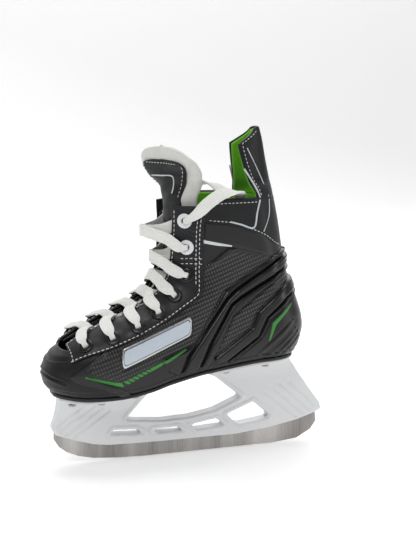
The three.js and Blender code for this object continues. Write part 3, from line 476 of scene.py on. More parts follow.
def lace_look():
    m = Look("lace_weave", (0.66, 0.66, 0.62), 0.8, spec=0.25)
    rib = m.node("Attribute")
    rib.attribute_name = "across"
    run = m.node("Attribute")
    run.attribute_name = "along"
    ribs = m.math("SINE", m.math("MULTIPLY", rib.outputs["Fac"], math.pi * 2 * 5.5), 0)
    knit = m.math("SINE", m.math("MULTIPLY", run.outputs["Fac"], math.pi * 2 / 0.0011), 0)
    both = m.math("ADD", ribs, m.math("MULTIPLY", knit, 0.3))
    base = m.mix(m.noise(220, 3), (0.84, 0.84, 0.81), (0.92, 0.92, 0.89))
    # the base colour darkens in the low grooves between the ribs: painted shade in the weave's recesses
    m.color(m.mix(m.ramp(both, -1.2, -0.2, 0.3, 0.0), base, (0.66, 0.66, 0.63)))
    m.bsdf.inputs["Sheen Weight"].default_value = 0.2
    m.bump(both, 0.0002, 0.5)
    m.bump(m.noise(2200, 2), 0.0001, 0.3)
    return m.mat


def plastic_look(name, color, rough):
    m = Look(name, color, rough)
    darker = tuple(c * 0.93 for c in color)
    m.color(m.mix(m.noise(45, 4), darker, color))
    m.rough(m.ramp(m.noise(260, 3), 0.3, 0.7, rough - 0.05, rough + 0.07))
    m.bump(m.noise(1300, 2), 0.00008, 0.3)
    return m.mat


def steel_look():
    m = Look("brushed_steel", (0.56, 0.545, 0.53), 0.28, 1.0)
    grind = m.noise(1.0, 3, 0.6, stretch=(2600, 2600, 60))
    # broad dark and bright bands in the base colour, stretched along the height, are a painted reflection of
    # the studio lights on the runner
    reflection_bands = m.noise(1.0, 3, 0.55, stretch=(26, 26, 1.5))
    painted_reflection_tone = m.mix(m.ramp(reflection_bands, 0.35, 0.65), (0.10, 0.09, 0.088), (0.52, 0.50, 0.48))
    m.color(m.mix(m.ramp(grind, 0.3, 0.7, 0.0, 0.35), painted_reflection_tone, (0.62, 0.60, 0.58)))
    m.rough(m.ramp(grind, 0.3, 0.7, 0.2, 0.42))
    m.bump(grind, 0.00006, 0.35)
    return m.mat


def metal_look(name, color, rough, metal):
    m = Look(name, color, rough, metal)
    m.rough(m.ramp(m.noise(800, 3), 0.3, 0.7, rough - 0.05, rough + 0.1))
    m.bump(m.noise(900, 2), 0.00005, 0.2)
    return m.mat


def thread_look():
    m = Look("white_thread", (0.72, 0.73, 0.74), 0.6)
    m.color(m.mix(m.noise(900, 2), (0.62, 0.63, 0.64), (0.85, 0.86, 0.87)))
    m.bump(m.wave(1400, (0, 0.6, 0)), 0.0001, 0.5)
    return m.mat


MAT = {
    "shell": shell_look(),
    "cap": leather_look("toe_cap_grain", (0.005, 0.005, 0.0055), 0.42, 0.6),
    "leather": leather_look("facing_leather", (0.010, 0.0105, 0.012), 0.4, 0.7),
    "collar": leather_look("collar_leather", (0.007, 0.0075, 0.0085), 0.42, 0.7),
    "patch": leather_look("patch_leather", (0.007, 0.0075, 0.0085), 0.5, 0.7),
    "felt": felt_look(), "lining": lining_look(), "lace": lace_look(),
    "foam": leather_look("foam_dark", (0.03, 0.03, 0.031), 0.9),
    "insole": leather_look("insole_cloth", (0.035, 0.036, 0.038), 0.9, 1.6),
    "holder": plastic_look("holder_plastic", (0.78, 0.79, 0.80), 0.34),
    "sole": plastic_look("outsole_plastic", (0.012, 0.012, 0.013), 0.5),
    "badge": plastic_look("badge_plate", (0.58, 0.64, 0.72), 0.3),
    "steel": steel_look(),
    "eyelet_black": metal_look("eyelet_black", (0.012, 0.012, 0.013), 0.2, 0.3),
    "eyelet_white": metal_look("eyelet_white", (0.78, 0.79, 0.80), 0.3, 0.0),
    "rivet": metal_look("rivet_steel", (0.5, 0.49, 0.48), 0.35, 1.0),
    "aglet": plastic_look("aglet_tip", (0.62, 0.62, 0.6), 0.25),
    "thread": thread_look(),
    "pale": plastic_look("pale_piping", (0.62, 0.65, 0.69), 0.4),
    "accent": plastic_look("green_accent", (0.035, 0.26, 0.035), 0.4),
    "silver": metal_look("silver_trim", (0.62, 0.64, 0.66), 0.28, 0.9),
}

# ------------------------------------------------------------------ eyelet places and lace route
EYELET_BORE, EYELET_BARREL, EYELET_FLANGE, EYELET_LIP = 2.4, 3.1, 5.5, 1.0
LACE_WIDTH, LACE_THICK, LACE_NECK, LACE_TOTAL, AGLET_LENGTH = 9.0, 1.7, 4.2, 1830.0, 22.0
FLANGE_SEAT = FACE + 1.1
EYELET_TOP = FLANGE_SEAT + EYELET_LIP
EYELET_END = -SHELL - 0.4
OVER = EYELET_TOP + GAP + LACE_THICK / 2
UNDER = -SHELL - 1.25 - LACE_THICK / 2
HALF_WIDE = 0.3 * LACE_NECK + 0.7 * LACE_WIDTH
TOP_ROW = len(EYELETS) - 1
HS = np.linspace(0.28, 1, 361)


def nearest_h(line, place):
    return float(HS[np.argmin(np.linalg.norm(line(HS) - place, axis=-1))])


eyelets = {}
for side in (1, -1):
    for row, (x, z) in enumerate(EYELETS):
        h, q = (float(v) for v in locate(x, z))
        at = base_point(h, side * q)
        e = {"h": h, "q": q, "at": at, "axis": normal_at(np.array(h), np.array(side * q)),
             "side": side, "row": row}
        beside = at if row else np.array([at[0], -8.0 * side, at[2] + 5.0])
        e["edge"] = nearest_h(lambda t: base_point(t, side * throat(t)), beside)
        eyelets[side, row] = e


def round_eyelet(e, marks):
    toward = base_point(e["edge"], e["side"] * throat(e["edge"])) - e["at"]
    toward = toward - e["axis"] * toward.dot(e["axis"])
    toward /= np.linalg.norm(toward)
    return [(e["at"] + toward * u + e["axis"] * d,
             e["axis"] * math.cos(lean) - toward * math.sin(lean), w) for u, d, lean, w in marks]


ON_TOP = [(4.6, OVER + 0.7, 0, HALF_WIDE), (1.5, OVER + 0.5, math.pi / 4, LACE_NECK),
          (0, OVER - 1.2, math.pi / 2, LACE_NECK)]
BELOW = [(0, EYELET_END, math.pi / 2, LACE_NECK), (1.2, UNDER - 0.4, math.pi * 0.75, LACE_NECK),
         (3.6, UNDER - 0.4, math.pi, HALF_WIDE)]


def crossing(a, b, over, slack):
    mix = lambda m, n, f: m + (n - m) * f
    middle = (a["at"] + b["at"]) / 2
    middle[1] = swing(0.0)
    ridge = nearest_h(lambda t: base_point(t, 0.0 * t), middle)
    out = []
    for f, share, sign, d in [(0.10, 0.40, 1, UNDER - 0.1), (0.2, 0.0, 1, UNDER),
                              (0.34, -0.45, 1, UNDER + 0.3 + slack * 0.5),
                              (0.5, -1, 1, (-0.7 if over else -3.0) + slack),
                              (0.64, -0.45, -1, (2.2 if over else 1.3) + slack * 0.6),
                              (0.77, -0.1, -1, FACE + 2.1), (0.86, 0.16, -1, FACE + 2.5)]:
        edge, hole = mix(a["edge"], b["edge"], f), mix(a["h"], b["h"], f)
        t = float(throat(edge))
        h = mix(edge, hole, share) if share >= 0 else mix(edge, ridge, -share)
        q = mix(t, mix(a["q"], b["q"], f), share) if share >= 0 else t * (1 + share)
        q *= sign * a["side"]
        out.append((skin(h, q, d), normal_at(np.array(h), np.array(q)), LACE_WIDTH))
    return out


def laced_half(side):
    out = round_eyelet(eyelets[side, TOP_ROW], [(0, FACE - 1.0, math.pi / 2, LACE_NECK)] + BELOW)
    s = side
    for row in range(TOP_ROW, 0, -1):
        a, b = eyelets[s, row], eyelets[-s, row - 1]
        slack = {TOP_ROW: 15 if side > 0 else 11, TOP_ROW - 1: 5, TOP_ROW - 2: 2}.get(row, 0)
        out += crossing(a, b, (row % 2 == 0) == (side > 0), slack)
        out += round_eyelet(b, ON_TOP + BELOW)
        s = -s
    return out


def lace_bar():
    e = eyelets[1, 0]
    middle = e["at"].copy()
    middle[1] = swing(0.0)
    ridge = nearest_h(lambda t: base_point(t, 0.0 * t), middle)
    out = []
    for k in (1.2, 0.8, 0, -0.8, -1.2):
        h = e["edge"] + (ridge - e["edge"]) * (1 - abs(k)) - 0.008
        q = float(throat(h)) * k
        out.append((skin(h, q, UNDER - (0.3 if k == 0 else 1.4)), normal_at(np.array(h), np.array(q)),
                    LACE_WIDTH))
    return out


lateral_half, medial_half, bar = laced_half(1), laced_half(-1), lace_bar()
laced = lateral_half + (bar if TOP_ROW % 2 == 0 else bar[::-1]) + medial_half[::-1]
laced_points = np.array([m[0] for m in laced])
FREE_END = (LACE_TOTAL - np.linalg.norm(np.diff(laced_points, axis=0), axis=1).sum()) / 2
print("free lace end, mm:", round(float(FREE_END), 2))


# ------------------------------------------------------------------ ribbons and free ends
def spline(points, steps):
    """Centripetal Catmull-Rom through points (any width), steps samples a span."""
    p = np.asarray(points, float)
    p = np.concatenate([[2 * p[0] - p[1]], p, [2 * p[-1] - p[-2]]])
    out = []
    for a, b, c, d in zip(p[:-3], p[1:-2], p[2:-1], p[3:]):
        ta, tb, tc = (max(1e-6, np.linalg.norm((v - u)[:3])) ** 0.5 for u, v in ((a, b), (b, c), (c, d)))
        for k in range(steps):
            u = k / steps
            m1 = ((b - a) / ta - (c - a) / (ta + tb) + (c - b) / tb) * tb
            m2 = ((c - b) / tb - (d - b) / (tb + tc) + (d - c) / tc) * tb
            out.append((2 * u ** 3 - 3 * u ** 2 + 1) * b + (u ** 3 - 2 * u ** 2 + u) * m1
                       + (3 * u ** 2 - 2 * u ** 3) * c + (u ** 3 - u ** 2) * m2)
    out.append(p[-2])
    return np.array(out)


def ribbon(name, marks, steps=5, body="boot"):
    rows = spline([np.concatenate([m[0], m[1], [m[2]]]) for m in marks], steps)
    p, n, w = rows[:, :3], rows[:, 3:6], np.clip(rows[:, 6], LACE_NECK * 0.9, LACE_WIDTH)
    along = np.gradient(p, axis=0)
    along /= np.linalg.norm(along, axis=1, keepdims=True)
    flat = n - along * np.sum(n * along, 1, keepdims=True)
    flat /= np.linalg.norm(flat, axis=1, keepdims=True)
    for i in range(1, len(flat)):
        if flat[i].dot(flat[i - 1]) < 0:
            flat[i] = -flat[i]
    for _ in range(2):
        flat[1:-1] = (flat[:-2] + 2 * flat[1:-1] + flat[2:]) / 4
    flat -= along * np.sum(flat * along, 1, keepdims=True)
    flat /= np.linalg.norm(flat, axis=1, keepdims=True)
    across = np.cross(along, flat)
    sides = 24
    angle = np.arange(sides) / sides * 2 * math.pi
    cu = np.sign(np.cos(angle)) * np.abs(np.cos(angle)) ** 0.55
    cv = np.sign(np.sin(angle)) * np.abs(np.sin(angle)) ** 0.6
    bunch = np.clip((LACE_WIDTH - w) / (LACE_WIDTH - LACE_NECK), 0, 1)
    half, thick = w / 2, LACE_THICK / 2 * (1 + 0.35 * bunch)
    dip = 0.16 * np.cos(cu * math.pi * 5)[None, :] * (np.abs(cu) < 0.97)
    ring = (p[:, None] + across[:, None] * (half[:, None] * cu)[..., None]
            + flat[:, None] * (thick[:, None] * cv * (1 - dip))[..., None])
    count = len(p)
    run = np.concatenate([[0], np.cumsum(np.linalg.norm(np.diff(p, axis=0), axis=1))]) * 0.001
    points = ring.reshape(-1, 3)
    faces = [list(f) for f in grid_faces(count, sides, wrap=True)]
    faces += [list(range(sides))[::-1], list(range((count - 1) * sides, count * sides))]
    masks = {"across": np.tile((cu + 1) / 2, count), "along": np.repeat(run, sides)}
    obj = make_mesh(name, points, faces, MAT["lace"], body, masks=masks)
    return obj, p


def insole_top(x):
    return float(sole_z(x)) + 2 + 0.3 + 1.9 + 3.0


def sole_z(x):
    s = np.linspace(0, 1, 400)
    sx, sz = loop_xz(0.0, s)
    return np.interp(x, sx, sz)


def free_route(side):
    e = eyelets[side, TOP_ROW]
    start = round_eyelet(e, [(0, FACE - 0.65, math.pi / 2, LACE_NECK),
                             (0, OVER - 1.6, math.pi / 2, LACE_NECK),
                             (-1.2, OVER + 0.3, -math.pi / 4, LACE_NECK)])
    out, top = (-1 if side > 0 else 1), 198.0
    marks = [(-5, 36, top - 9, 0, 1, 0.15), (3, 38.6, top - 1, -0.1, 1, 0.35), (13, 37.6, top + 5, 0, 1, 0.7),
             (23, 33.6, top + 6.6, 0, 0.5, 1), (30, 28, top + 4.6, 0, -0.4, 1),
             (34, 20.8, top - 0.3, 0, -1, 0.5),
             (36, 19.4, top - 10, 0, -1, 0), (37, 19.2, 160, 0, -1, 0), (36, 19.0, 130, 0, -1, 0),
             (32, 18.8, insole_top(32) + 20, 0, -1, 0.2), (25, 17.2, insole_top(25) + 6, 0.5, -0.6, 0.7)]
    lie = 0.9 + LACE_THICK / 2
    for x, v in ((14, 15.6), (-6, 15.2), (-26, 15.6), (-46, 16.2), (-62, 15.6), (-72, 12.5), (-77, 8.5),
                 (-72, 5.4), (-58, 5.4), (-38, 5.2), (-18, 5.4), (2, 5.6), (22, 5.6), (42, 5.6)):
        marks.append((x, v, insole_top(x) + lie, 0, 0, 1))
    line = [(start[-1][0], start[-1][1], LACE_NECK)]
    for x, v, z, nx, ny, nz in marks:
        line.append((np.array([x, out * v - 0.6, z]), np.array([nx, out * ny, nz]), LACE_WIDTH))
    fine = spline([np.concatenate([m[0], m[1], [m[2]]]) for m in line], 12)
    run = np.concatenate([[0], np.cumsum(np.linalg.norm(np.diff(fine[:, :3], axis=0), axis=1))])
    want = min(FREE_END - AGLET_LENGTH, run[-1])
    at = np.linspace(0, want, 90)
    rows = np.stack([np.interp(at, run, fine[:, k]) for k in range(7)], -1)
    grow = np.minimum(1, (np.arange(90) + 4) / 9)
    rows[:, 6] = LACE_WIDTH * grow
    rows[-3:, 6] = LACE_WIDTH * np.array([0.8, 0.55, 0.4])
    return start[:2] + [(r[:3], r[3:6], r[6]) for r in rows]


lace, _ = ribbon("lace_laced", laced, 6)
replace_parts(lace, "lace")
for side, word in ((1, "lateral"), (-1, "medial")):
    end, centre = ribbon("free_end_" + word, free_route(side), 2)
    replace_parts(end, "lace_end_" + word)
    a, b = centre[-2], centre[-1]
    run = (b - a) / np.linalg.norm(b - a)
    run[2] = max(run[2], 0.02)
    run /= np.linalg.norm(run)
    tip_line = b[None] + run[None] * np.linspace(-1.5, AGLET_LENGTH, 12)[:, None] + np.array([0, 0, 0.4])
    sides = 20
    ref = np.cross(run, [0, 0, 1.0])
    ref /= np.linalg.norm(ref)
    up = np.cross(ref, run)
    turn = np.arange(sides) / sides * 2 * math.pi
    radius = np.array([1.75, 1.85, 1.6, 1.6, 1.55, 1.6, 1.6, 1.6, 1.6, 1.6, 1.55, 1.1])
    ring = tip_line[:, None] + radius[:, None, None] * (np.cos(turn)[None, :, None] * ref
                                                        + np.sin(turn)[None, :, None] * up)
    faces = [list(f) for f in grid_faces(12, sides, wrap=True)]
    faces += [list(range(sides)), list(range(11 * sides, 12 * sides))]
    aglet = make_mesh("aglet_tip_" + word, ring.reshape(-1, 3), faces, MAT["aglet"])
    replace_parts(aglet, "aglet_" + word)

# ------------------------------------------------------------------ side-view drawing of the shell
def sketch(*points):
    return [(x - 3.0, z - 0.5) for x, z in points]


RIBS = [  # raised bands sweeping from the sole to the heel, with their heights
    (sketch((-28.9, 83.7), (-3, 93.4), (-0.6, 95.9), (18.4, 126.6), (21.6, 131.1), (60, 154.3), (92, 168),
            (92, 163), (62.5, 150.8), (31.1, 132), (23.2, 125.6), (-8.6, 83.7), (-14.9, 69.5),
            (-24, 74)), 1.5),
    (sketch((-14.9, 69.5), (-8.6, 83.7), (23.2, 125.6), (31.1, 132), (62.5, 150.8), (92, 163), (92, 153),
            (65.8, 142.5), (34.4, 125.7), (26.4, 120), (8.9, 91.8), (0.1, 73)), 1.9),
    (sketch((0.1, 73), (8.9, 91.8), (26.4, 120), (34.4, 125.7), (65.8, 142.5), (92, 153), (92, 148),
            (66.7, 138.5), (34.4, 115.6), (28, 110.6), (12.9, 81.4), (8, 74)), 1.7),
    (sketch((12.9, 81.4), (42.6, 101.9), (48.2, 114), (69.2, 131.4), (96, 146), (96, 134), (72, 121.5),
            (55.8, 108.2), (48.7, 94.2), (23, 76.7), (12, 74)), 1.5),
    (sketch((23, 76.7), (48.7, 94.2), (55.8, 108.2), (72, 121.5), (96, 134), (96, 130), (74.8, 118.6),
            (58.5, 106), (51, 93), (26, 74)), 1.2),
]
DIAMOND = sketch((12.9, 81.4), (28, 110.6), (34.4, 115.6), (66.7, 138.5), (96, 150), (96, 146), (69.2, 131.4),
                 (48.2, 114), (42.6, 101.9))
HEEL_ACCENT = (sketch((57.2, 90.4), (60.3, 104.0), (77, 117.4)),
               sketch((57.9, 90.4), (62.6, 102.4), (77.4, 116.6)))
FORE_ACCENT = (sketch((-84.5, 73.8), (-64.1, 68.9), (-59.2, 68.6)),
               sketch((-84.5, 73.2), (-64.1, 66.6), (-57.4, 65.6)))
FORE_TAIL = (sketch((-58.6, 68.7), (-44.6, 75.1), (-31.4, 80.3), (-10.3, 90.3)),
             sketch((-56.6, 66.1), (-41.6, 73.7), (-29.5, 79.3), (-9.9, 89.9)))
CHEVRON = sketch((-70, 93), (-85.3, 81.6), (-95.5, 73), (-93, 69), (-67.2, 60.8), (-56, 54), (-50, 58),
                 (-65.4, 67.1), (-82.3, 73.7), (-82.2, 78.1), (-68, 92.5))
BAND = sketch((6.4, 168.1), (31.7, 163.1), (51, 157.6), (61.6, 153.2), (90, 146), (90, 170), (6, 205))
GLOSS_STRIP = sketch((5.7, 149.5), (24.6, 163.7), (31.7, 163.1), (51, 157.6), (51.9, 155.5), (31, 161.1),
                     (5.7, 143.4))
CARBON = sketch((-80, 86), (-81, 76), (-66, 70), (-56, 67), (-28.9, 83.7), (-3, 93.4), (-0.6, 95.9),
                (18.4, 126.6), (21.6, 131.1), (60, 154), (48, 156), (31, 160), (5.7, 150),
                (4.4, 133.3), (2.3, 129.5),
                (-13.5, 116.7), (-36.3, 106), (-70, 92))
PALE_STRIPE = (sketch((5.6, 169.4), (15.5, 167.2), (27, 164.6)),
               sketch((5.6, 167.2), (15.5, 165.2), (27, 163.8)))
LOW_LINES = [sketch((49.1, 79.4), (77.7, 103.5)), sketch((57, 77.5), (80, 97)), sketch((64, 77.5), (83, 94)),
             sketch((71, 78), (85, 90.5))]
BADGE = [(-61.2, 78.6), (-61.2, 92.3), (-9.0, 100.0), (-8.8, 113.3)]
TOE_CREASES = [sketch((-117, 80.5), (-95.6, 84.6)), sketch((-117, 76), (-106.3, 70.5), (-98.3, 67.8))]


def shell_lift(base):
    """How far the moulded shell stands out, from its side view, in mm."""
    x, z = base[..., 0], base[..., 2]
    up = np.zeros(x.shape)
    for polygon, height in RIBS:
        d = inside(x, z, polygon)
        up += 1.5 * height * np.sin(np.pi / 2 * np.clip((d - 0.3) / 2.4, 0, 1)) * (d > 0)
        up -= 0.6 * np.exp(-(d / 0.6) ** 2)
    up += 1.2 * smooth(inside(x, z, CHEVRON) / 1.2) - 0.4 * np.exp(-(inside(x, z, CHEVRON) / 0.7) ** 2)
    up += 0.7 * smooth(inside(x, z, BAND) / 1.2) + 0.5 * smooth(inside(x, z, GLOSS_STRIP) / 1.4)
    for line in LOW_LINES:
        d = dist_to_line(x, z, line)[0]
        up += 0.45 * np.exp(-(d / 1.4) ** 2) - 0.25 * np.exp(-((d - 2.4) / 0.8) ** 2)
    d = inside(x, z, [BADGE[0], BADGE[1], BADGE[3], BADGE[2]])
    up -= 0.5 * np.exp(-((d + 0.9) / 0.8) ** 2)
    sole = z - sole_z(x)
    up -= 0.55 * np.exp(-((sole - 4.2) / 0.55) ** 2)
    up += 0.35 * np.exp(-((sole - 2.2) / 1.4) ** 2)
    return up


def shell_masks(base):
    x, z = base[..., 0], base[..., 2]
    soft = lambda poly, w=0.5: np.clip(inside(x, z, poly) / w + 0.5, 0, 1)
    return {"carbon": np.maximum(soft(DIAMOND), 0.9 * soft(CARBON, 2.0)),
            "gloss": np.maximum(soft(GLOSS_STRIP), 0.6 * np.max([soft(r[0], 1.0) for r in RIBS], 0))}


def cap_lift(base):
    x, z = base[..., 0], base[..., 2]
    up = np.zeros(x.shape)
    for line in TOE_CREASES:
        d = dist_to_line(x, z, line)[0]
        up -= 0.9 * np.exp(-(d / 0.8) ** 2) - 0.45 * np.exp(-((d - 1.9) / 1.2) ** 2)
    sole = z - sole_z(x)
    return up - 0.5 * np.exp(-((sole - 4.2) / 0.55) ** 2)


def warped(place, low, high, rows, cols, inner, outer, lift=None, side=1):
    """A boot layer whose bottom and top edges are functions of the place along it."""
    u = np.linspace(0, 1, cols)
    lo, hi = low(u), high(u)
    h = lo[None] + (hi - lo)[None] * np.linspace(0, 1, rows)[:, None]
    q = side * place(h, np.repeat(u[None], rows, 0))
    base, n = base_point(h, q), normal_at(h, q)
    up = lift(base) if lift is not None else 0.0
    return (base + n * (np.full(h.shape, float(outer)) + up)[..., None],
            base + n * np.full(h.shape + (1,), float(inner)), base)


def meets_rim(place, u, gap, low, high):
    lo, hi = np.full(u.shape, low), np.full(u.shape, high)
    for _ in range(22):
        h = (lo + hi) / 2
        p = base_point(h, place(h, u))
        under = p[:, 2] < curve(RIM, 1, p[:, 0]) + gap
        lo, hi = np.where(under, h, lo), np.where(under, hi, h)
    return lo


PANEL_LINE = np.array([[0, -46], [0.15, -52], [0.25, -58], [0.30, -56], [0.35, -46], [0.40, -38], [0.50, -18],
                       [0.60, -4], [0.68, 5], [0.8, 8], [1, 10]])


def two_zones(front, back, split=0.16):
    """q along a panel: a front strip takes up the edge's corners, the rest stays smooth."""
    def place(h, u):
        a, b = front(h), back(h)
        m = round_at_x(h, curve(PANEL_LINE, 1, h))
        return np.where(u < split, a + (m - a) * u / split, m + (b - m) * (u - split) / (1 - split))
    return place


def straight(front, back):
    return lambda h, u: front(h) + (back(h) - front(h)) * u


def quarter_front(h):
    h = np.asarray(h, float)
    low = cap_edge(h) + gap_round(h, cap_edge(h), GAP)
    meet = cap_edge(0.3) + (throat(np.full(h.shape, 0.33)) - cap_edge(0.3)) * (h - 0.3) / 0.03
    high = np.maximum(throat(h), np.where(h < 0.33, meet, 0))
    return np.where(h < 0.3, low, high)


def add_slab(name, outer, inner, material, body="boot", masks=None, round_by=0.45):
    points, faces = slab_mesh(outer, inner, round_by)
    if masks:
        n = outer.shape[0] * outer.shape[1]
        edge = len(points) - 2 * n
        masks = {k: np.concatenate([v.ravel(), v.ravel(), np.zeros(edge)]) for k, v in masks.items()}
    return make_mesh(name, points, faces, material, body, masks=masks)


back_line = lambda h: 1 - gap_round(h, 0.95, GAP / 2)
FINE = 0.85
for side, word in ((1, "lateral"), (-1, "medial")):
    place = two_zones(quarter_front, back_line)
    top = lambda u: meets_rim(place, u, 0.0, 0.3, 0.975)
    outer, inner, base = warped(place, lambda u: np.full(u.shape, 0.004), top,
                                int(210 / FINE), int(250 / FINE), -SHELL, 0.0, shell_lift, side)
    shell = add_slab("shell_" + word, outer, inner, MAT["shell"], masks=shell_masks(base))
    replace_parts(shell, "quarter_" + word)

cap_front = lambda h: np.where(h < 0.3, cap_edge(h) - gap_round(h, cap_edge(h), GAP), cap_edge(0.3))
outer, inner, h, q = slab(np.linspace(0.004, 0.298, 64), lambda h: -cap_front(h), cap_front, 200,
                          -SHELL, 0.0, cap_lift)
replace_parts(add_slab("toe_cap_skin", outer, inner, MAT["cap"]), "toe_cap")


# ------------------------------------------------------------------ stitches, piping and inlays
def resampled(line, at):
    line = np.asarray(line, float)
    run = np.concatenate([[0], np.cumsum(np.linalg.norm(np.diff(line, axis=0), axis=1))])
    return np.stack([np.interp(at * run[-1], run, line[:, k]) for k in (0, 1)], -1)


def inlay(name, edges, side, material, start=0.0, end=1.0, slant=0.0, proud=0.14, cols=60, body="boot"):
    """A thin coloured band between two side-view lines, laid on the shell's relief."""
    at = np.linspace(start, end, cols)
    low, high = resampled(edges[1], np.clip(at + slant, 0, 1)), resampled(edges[0], at)
    pts = low[None] + (high - low)[None] * np.linspace(0, 1, 7)[:, None, None]
    h, q = locate(pts[..., 0].ravel(), pts[..., 1].ravel())
    h, q = h.reshape(pts.shape[:2]), side * q.reshape(pts.shape[:2])
    base, n = base_point(h, q), normal_at(h, q)
    lift = shell_lift(base)[..., None]
    return add_slab(name, base + n * (lift + proud), base + n * (lift - 0.5), MAT[material], body)


def on_skin(points, depth, side=1):
    """Side-view points carried onto the boot's surface, with its normals."""
    pts = np.asarray(points, float)
    h, q = locate(pts[:, 0], pts[:, 1])
    return skin(h, side * q, depth), normal_at(h, side * q)


def evenly(points, normals, pitch, phase=0.5):
    run = np.concatenate([[0], np.cumsum(np.linalg.norm(np.diff(points, axis=0), axis=1))])
    at = np.arange(pitch * phase, run[-1] - pitch * 0.3, pitch)
    pick = lambda v, s: np.stack([np.interp(s, run, v[:, k]) for k in range(3)], -1)
    along = pick(points, at + 0.4) - pick(points, at - 0.4)
    return pick(points, at), along / np.linalg.norm(along, axis=1, keepdims=True), pick(normals, at)


def stitches(name, lines, body="boot", pitch=3.4, length=2.4, radius=0.34, proud=0.12, material="thread"):
    """Thread along lines of (points, normals): one mesh of short rounded stitches."""
    sides, rings = 6, 5
    turn = np.arange(sides) / sides * 2 * math.pi
    points, faces = [], []
    for line, normals in lines:
        at, along, n = evenly(np.asarray(line), np.asarray(normals), pitch)
        n = n / np.linalg.norm(n, axis=1, keepdims=True)
        across = np.cross(along, n)
        for p, a, nn, c in zip(at, along, n, across):
            start = len(points)
            for k in range(rings):
                t = (k / (rings - 1)) * 2 - 1
                r = radius * max(0.25, math.sqrt(max(0, 1 - t ** 4)))
                centre = p + a * t * length / 2 + nn * (proud + 0.12 * (1 - t * t) - 0.1 * abs(t) ** 3)
                points += [centre + c * r * math.cos(w) + nn * r * math.sin(w) for w in turn]
            faces += [[start + i for i in f] for f in grid_faces(rings, sides, wrap=True).tolist()]
            faces += [[start + i for i in range(sides)][::-1],
                      [start + (rings - 1) * sides + i for i in range(sides)]]
    return make_mesh(name, points, faces, MAT[material], body)


def piping(name, line, radius, material, body="boot", flat=1.0):
    pts, normals = np.asarray(line[0]), np.asarray(line[1])
    rows = spline(np.concatenate([pts, normals], 1), 4)
    p, n = rows[:, :3], rows[:, 3:6]
    along = np.gradient(p, axis=0)
    along /= np.linalg.norm(along, axis=1, keepdims=True)
    n = n - along * np.sum(n * along, 1, keepdims=True)
    n /= np.linalg.norm(n, axis=1, keepdims=True)
    across = np.cross(along, n)
    sides = 10
    turn = np.arange(sides) / sides * 2 * math.pi
    ring = (p[:, None] + across[:, None] * (radius * np.cos(turn))[None, :, None]
            + n[:, None] * (radius * flat * np.sin(turn))[None, :, None])
    faces = [list(f) for f in grid_faces(len(p), sides, wrap=True)]
    faces += [list(range(sides)), list(range((len(p) - 1) * sides, len(p) * sides))]
    return make_mesh(name, ring.reshape(-1, 3), faces, MAT[material], body)


BAR_PITCH, BAR_LENGTH = 0.068, 0.042       # shares of the band's length
for side, word in ((1, "lateral"), (-1, "medial")):
    inlay("accent_heel_" + word, HEEL_ACCENT, side, "accent")
    inlay("accent_toe_" + word, FORE_ACCENT, side, "accent")
    for k in range(6):
        start = 0.02 + k * BAR_PITCH
        inlay("accent_bar_%d_%s" % (k, word), FORE_TAIL, side, "accent", start, start + BAR_LENGTH, 0.03,
              cols=10)
    inlay("accent_tail_" + word, FORE_TAIL, side, "accent", 0.43, 1.0)
    inlay("rim_stripe_" + word, PALE_STRIPE, side, "silver")

# ------------------------------------------------------------------ facings
for side, word in ((1, "lateral"), (-1, "medial")):
    hs = np.linspace(0.23, 0.974, int(240 / FINE))
    def stay_lift(base):
        x, z = base[..., 0], base[..., 2]
        up = 0.2 * np.sin(x * 0.35 + z * 0.21) * np.sin(z * 0.23 + 1.0)
        ripple = 0.28 * np.sin((z + 0.55 * x) * 2 * math.pi / 3.2)
        up += ripple * smooth((z - 154.5) / 1.5) * smooth((x + 10) / 5)
        up -= 0.35 * np.exp(-((z - 153.4) / 0.6) ** 2)
        for e in eyelets.values():
            if e["side"] == side:
                d = np.linalg.norm(base - e["at"], axis=-1)
                up += 0.5 * np.exp(-(d / 7.0) ** 4)
        return up
    outer, inner, h, q = slab(hs, lambda t: side * throat(t), lambda t: side * eyestay_edge(t), 26,
                              SEAT, FACE, stay_lift)
    stay = add_slab("facing_" + word, outer, inner, MAT["leather"])
    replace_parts(stay, "eyestay_" + word)
    top = FACE + 0.15
    inset = lambda edge, mm: edge + np.sign(mm) * gap_round(hs, edge, abs(mm))
    low_q = inset(eyestay_edge(hs), -2.2)
    high_q = inset(throat(hs), 2.0)
    n1, n2 = normal_at(hs, side * low_q), normal_at(hs, side * high_q)
    lines = [(skin(hs, side * low_q, top), n1), (skin(hs, side * high_q, top), n2)]
    second = inset(eyestay_edge(hs), -4.6)
    keep = hs > 0.72
    lines.append((skin(hs[keep], side * second[keep], top), normal_at(hs[keep], side * second[keep])))
    p, n = on_skin([(-12.5, 155.2), (-6, 155.6), (2.2, 155.2)], top, side)
    lines.append((p, n))
    p, n = on_skin([(-12.5, 151.4), (-6, 151.8), (2.2, 151.4)], top, side)
    lines.append((p, n))
    stitches("facing_stitches_" + word, lines)

# ------------------------------------------------------------------ collar, tendon guard and padding
collar_front = lambda h: eyestay_edge(h) + gap_round(h, eyestay_edge(h), GAP)
collar_back = lambda h: guard_edge(h) - gap_round(h, guard_edge(h), GAP)
for side, word in ((1, "lateral"), (-1, "medial")):
    place = straight(collar_front, collar_back)
    low = lambda u: meets_rim(place, u, GAP, 0.6, 0.98)
    outer, inner, _ = warped(place, low, lambda u: np.full(u.shape, 0.998), 30, 60,
                             -SHELL, 0.0, lambda b: 0.5 * np.ones(b.shape[:2]), side)
    collar = add_slab("collar_skin_" + word, outer, inner, MAT["collar"])
    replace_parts(collar, "collar_" + word)
guard_other = lambda h: 2 - guard_edge(h)
place = straight(guard_edge, guard_other)
low = lambda u: meets_rim(place, u, GAP, 0.6, 0.98)
outer, inner, _ = warped(place, low, lambda u: np.full(u.shape, 0.999), 36, 110, -SHELL, 0.0,
                         lambda b: 0.5 * np.ones(b.shape[:2]))
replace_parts(add_slab("collar_skin_rear", outer, inner, MAT["collar"]), "collar_rear")

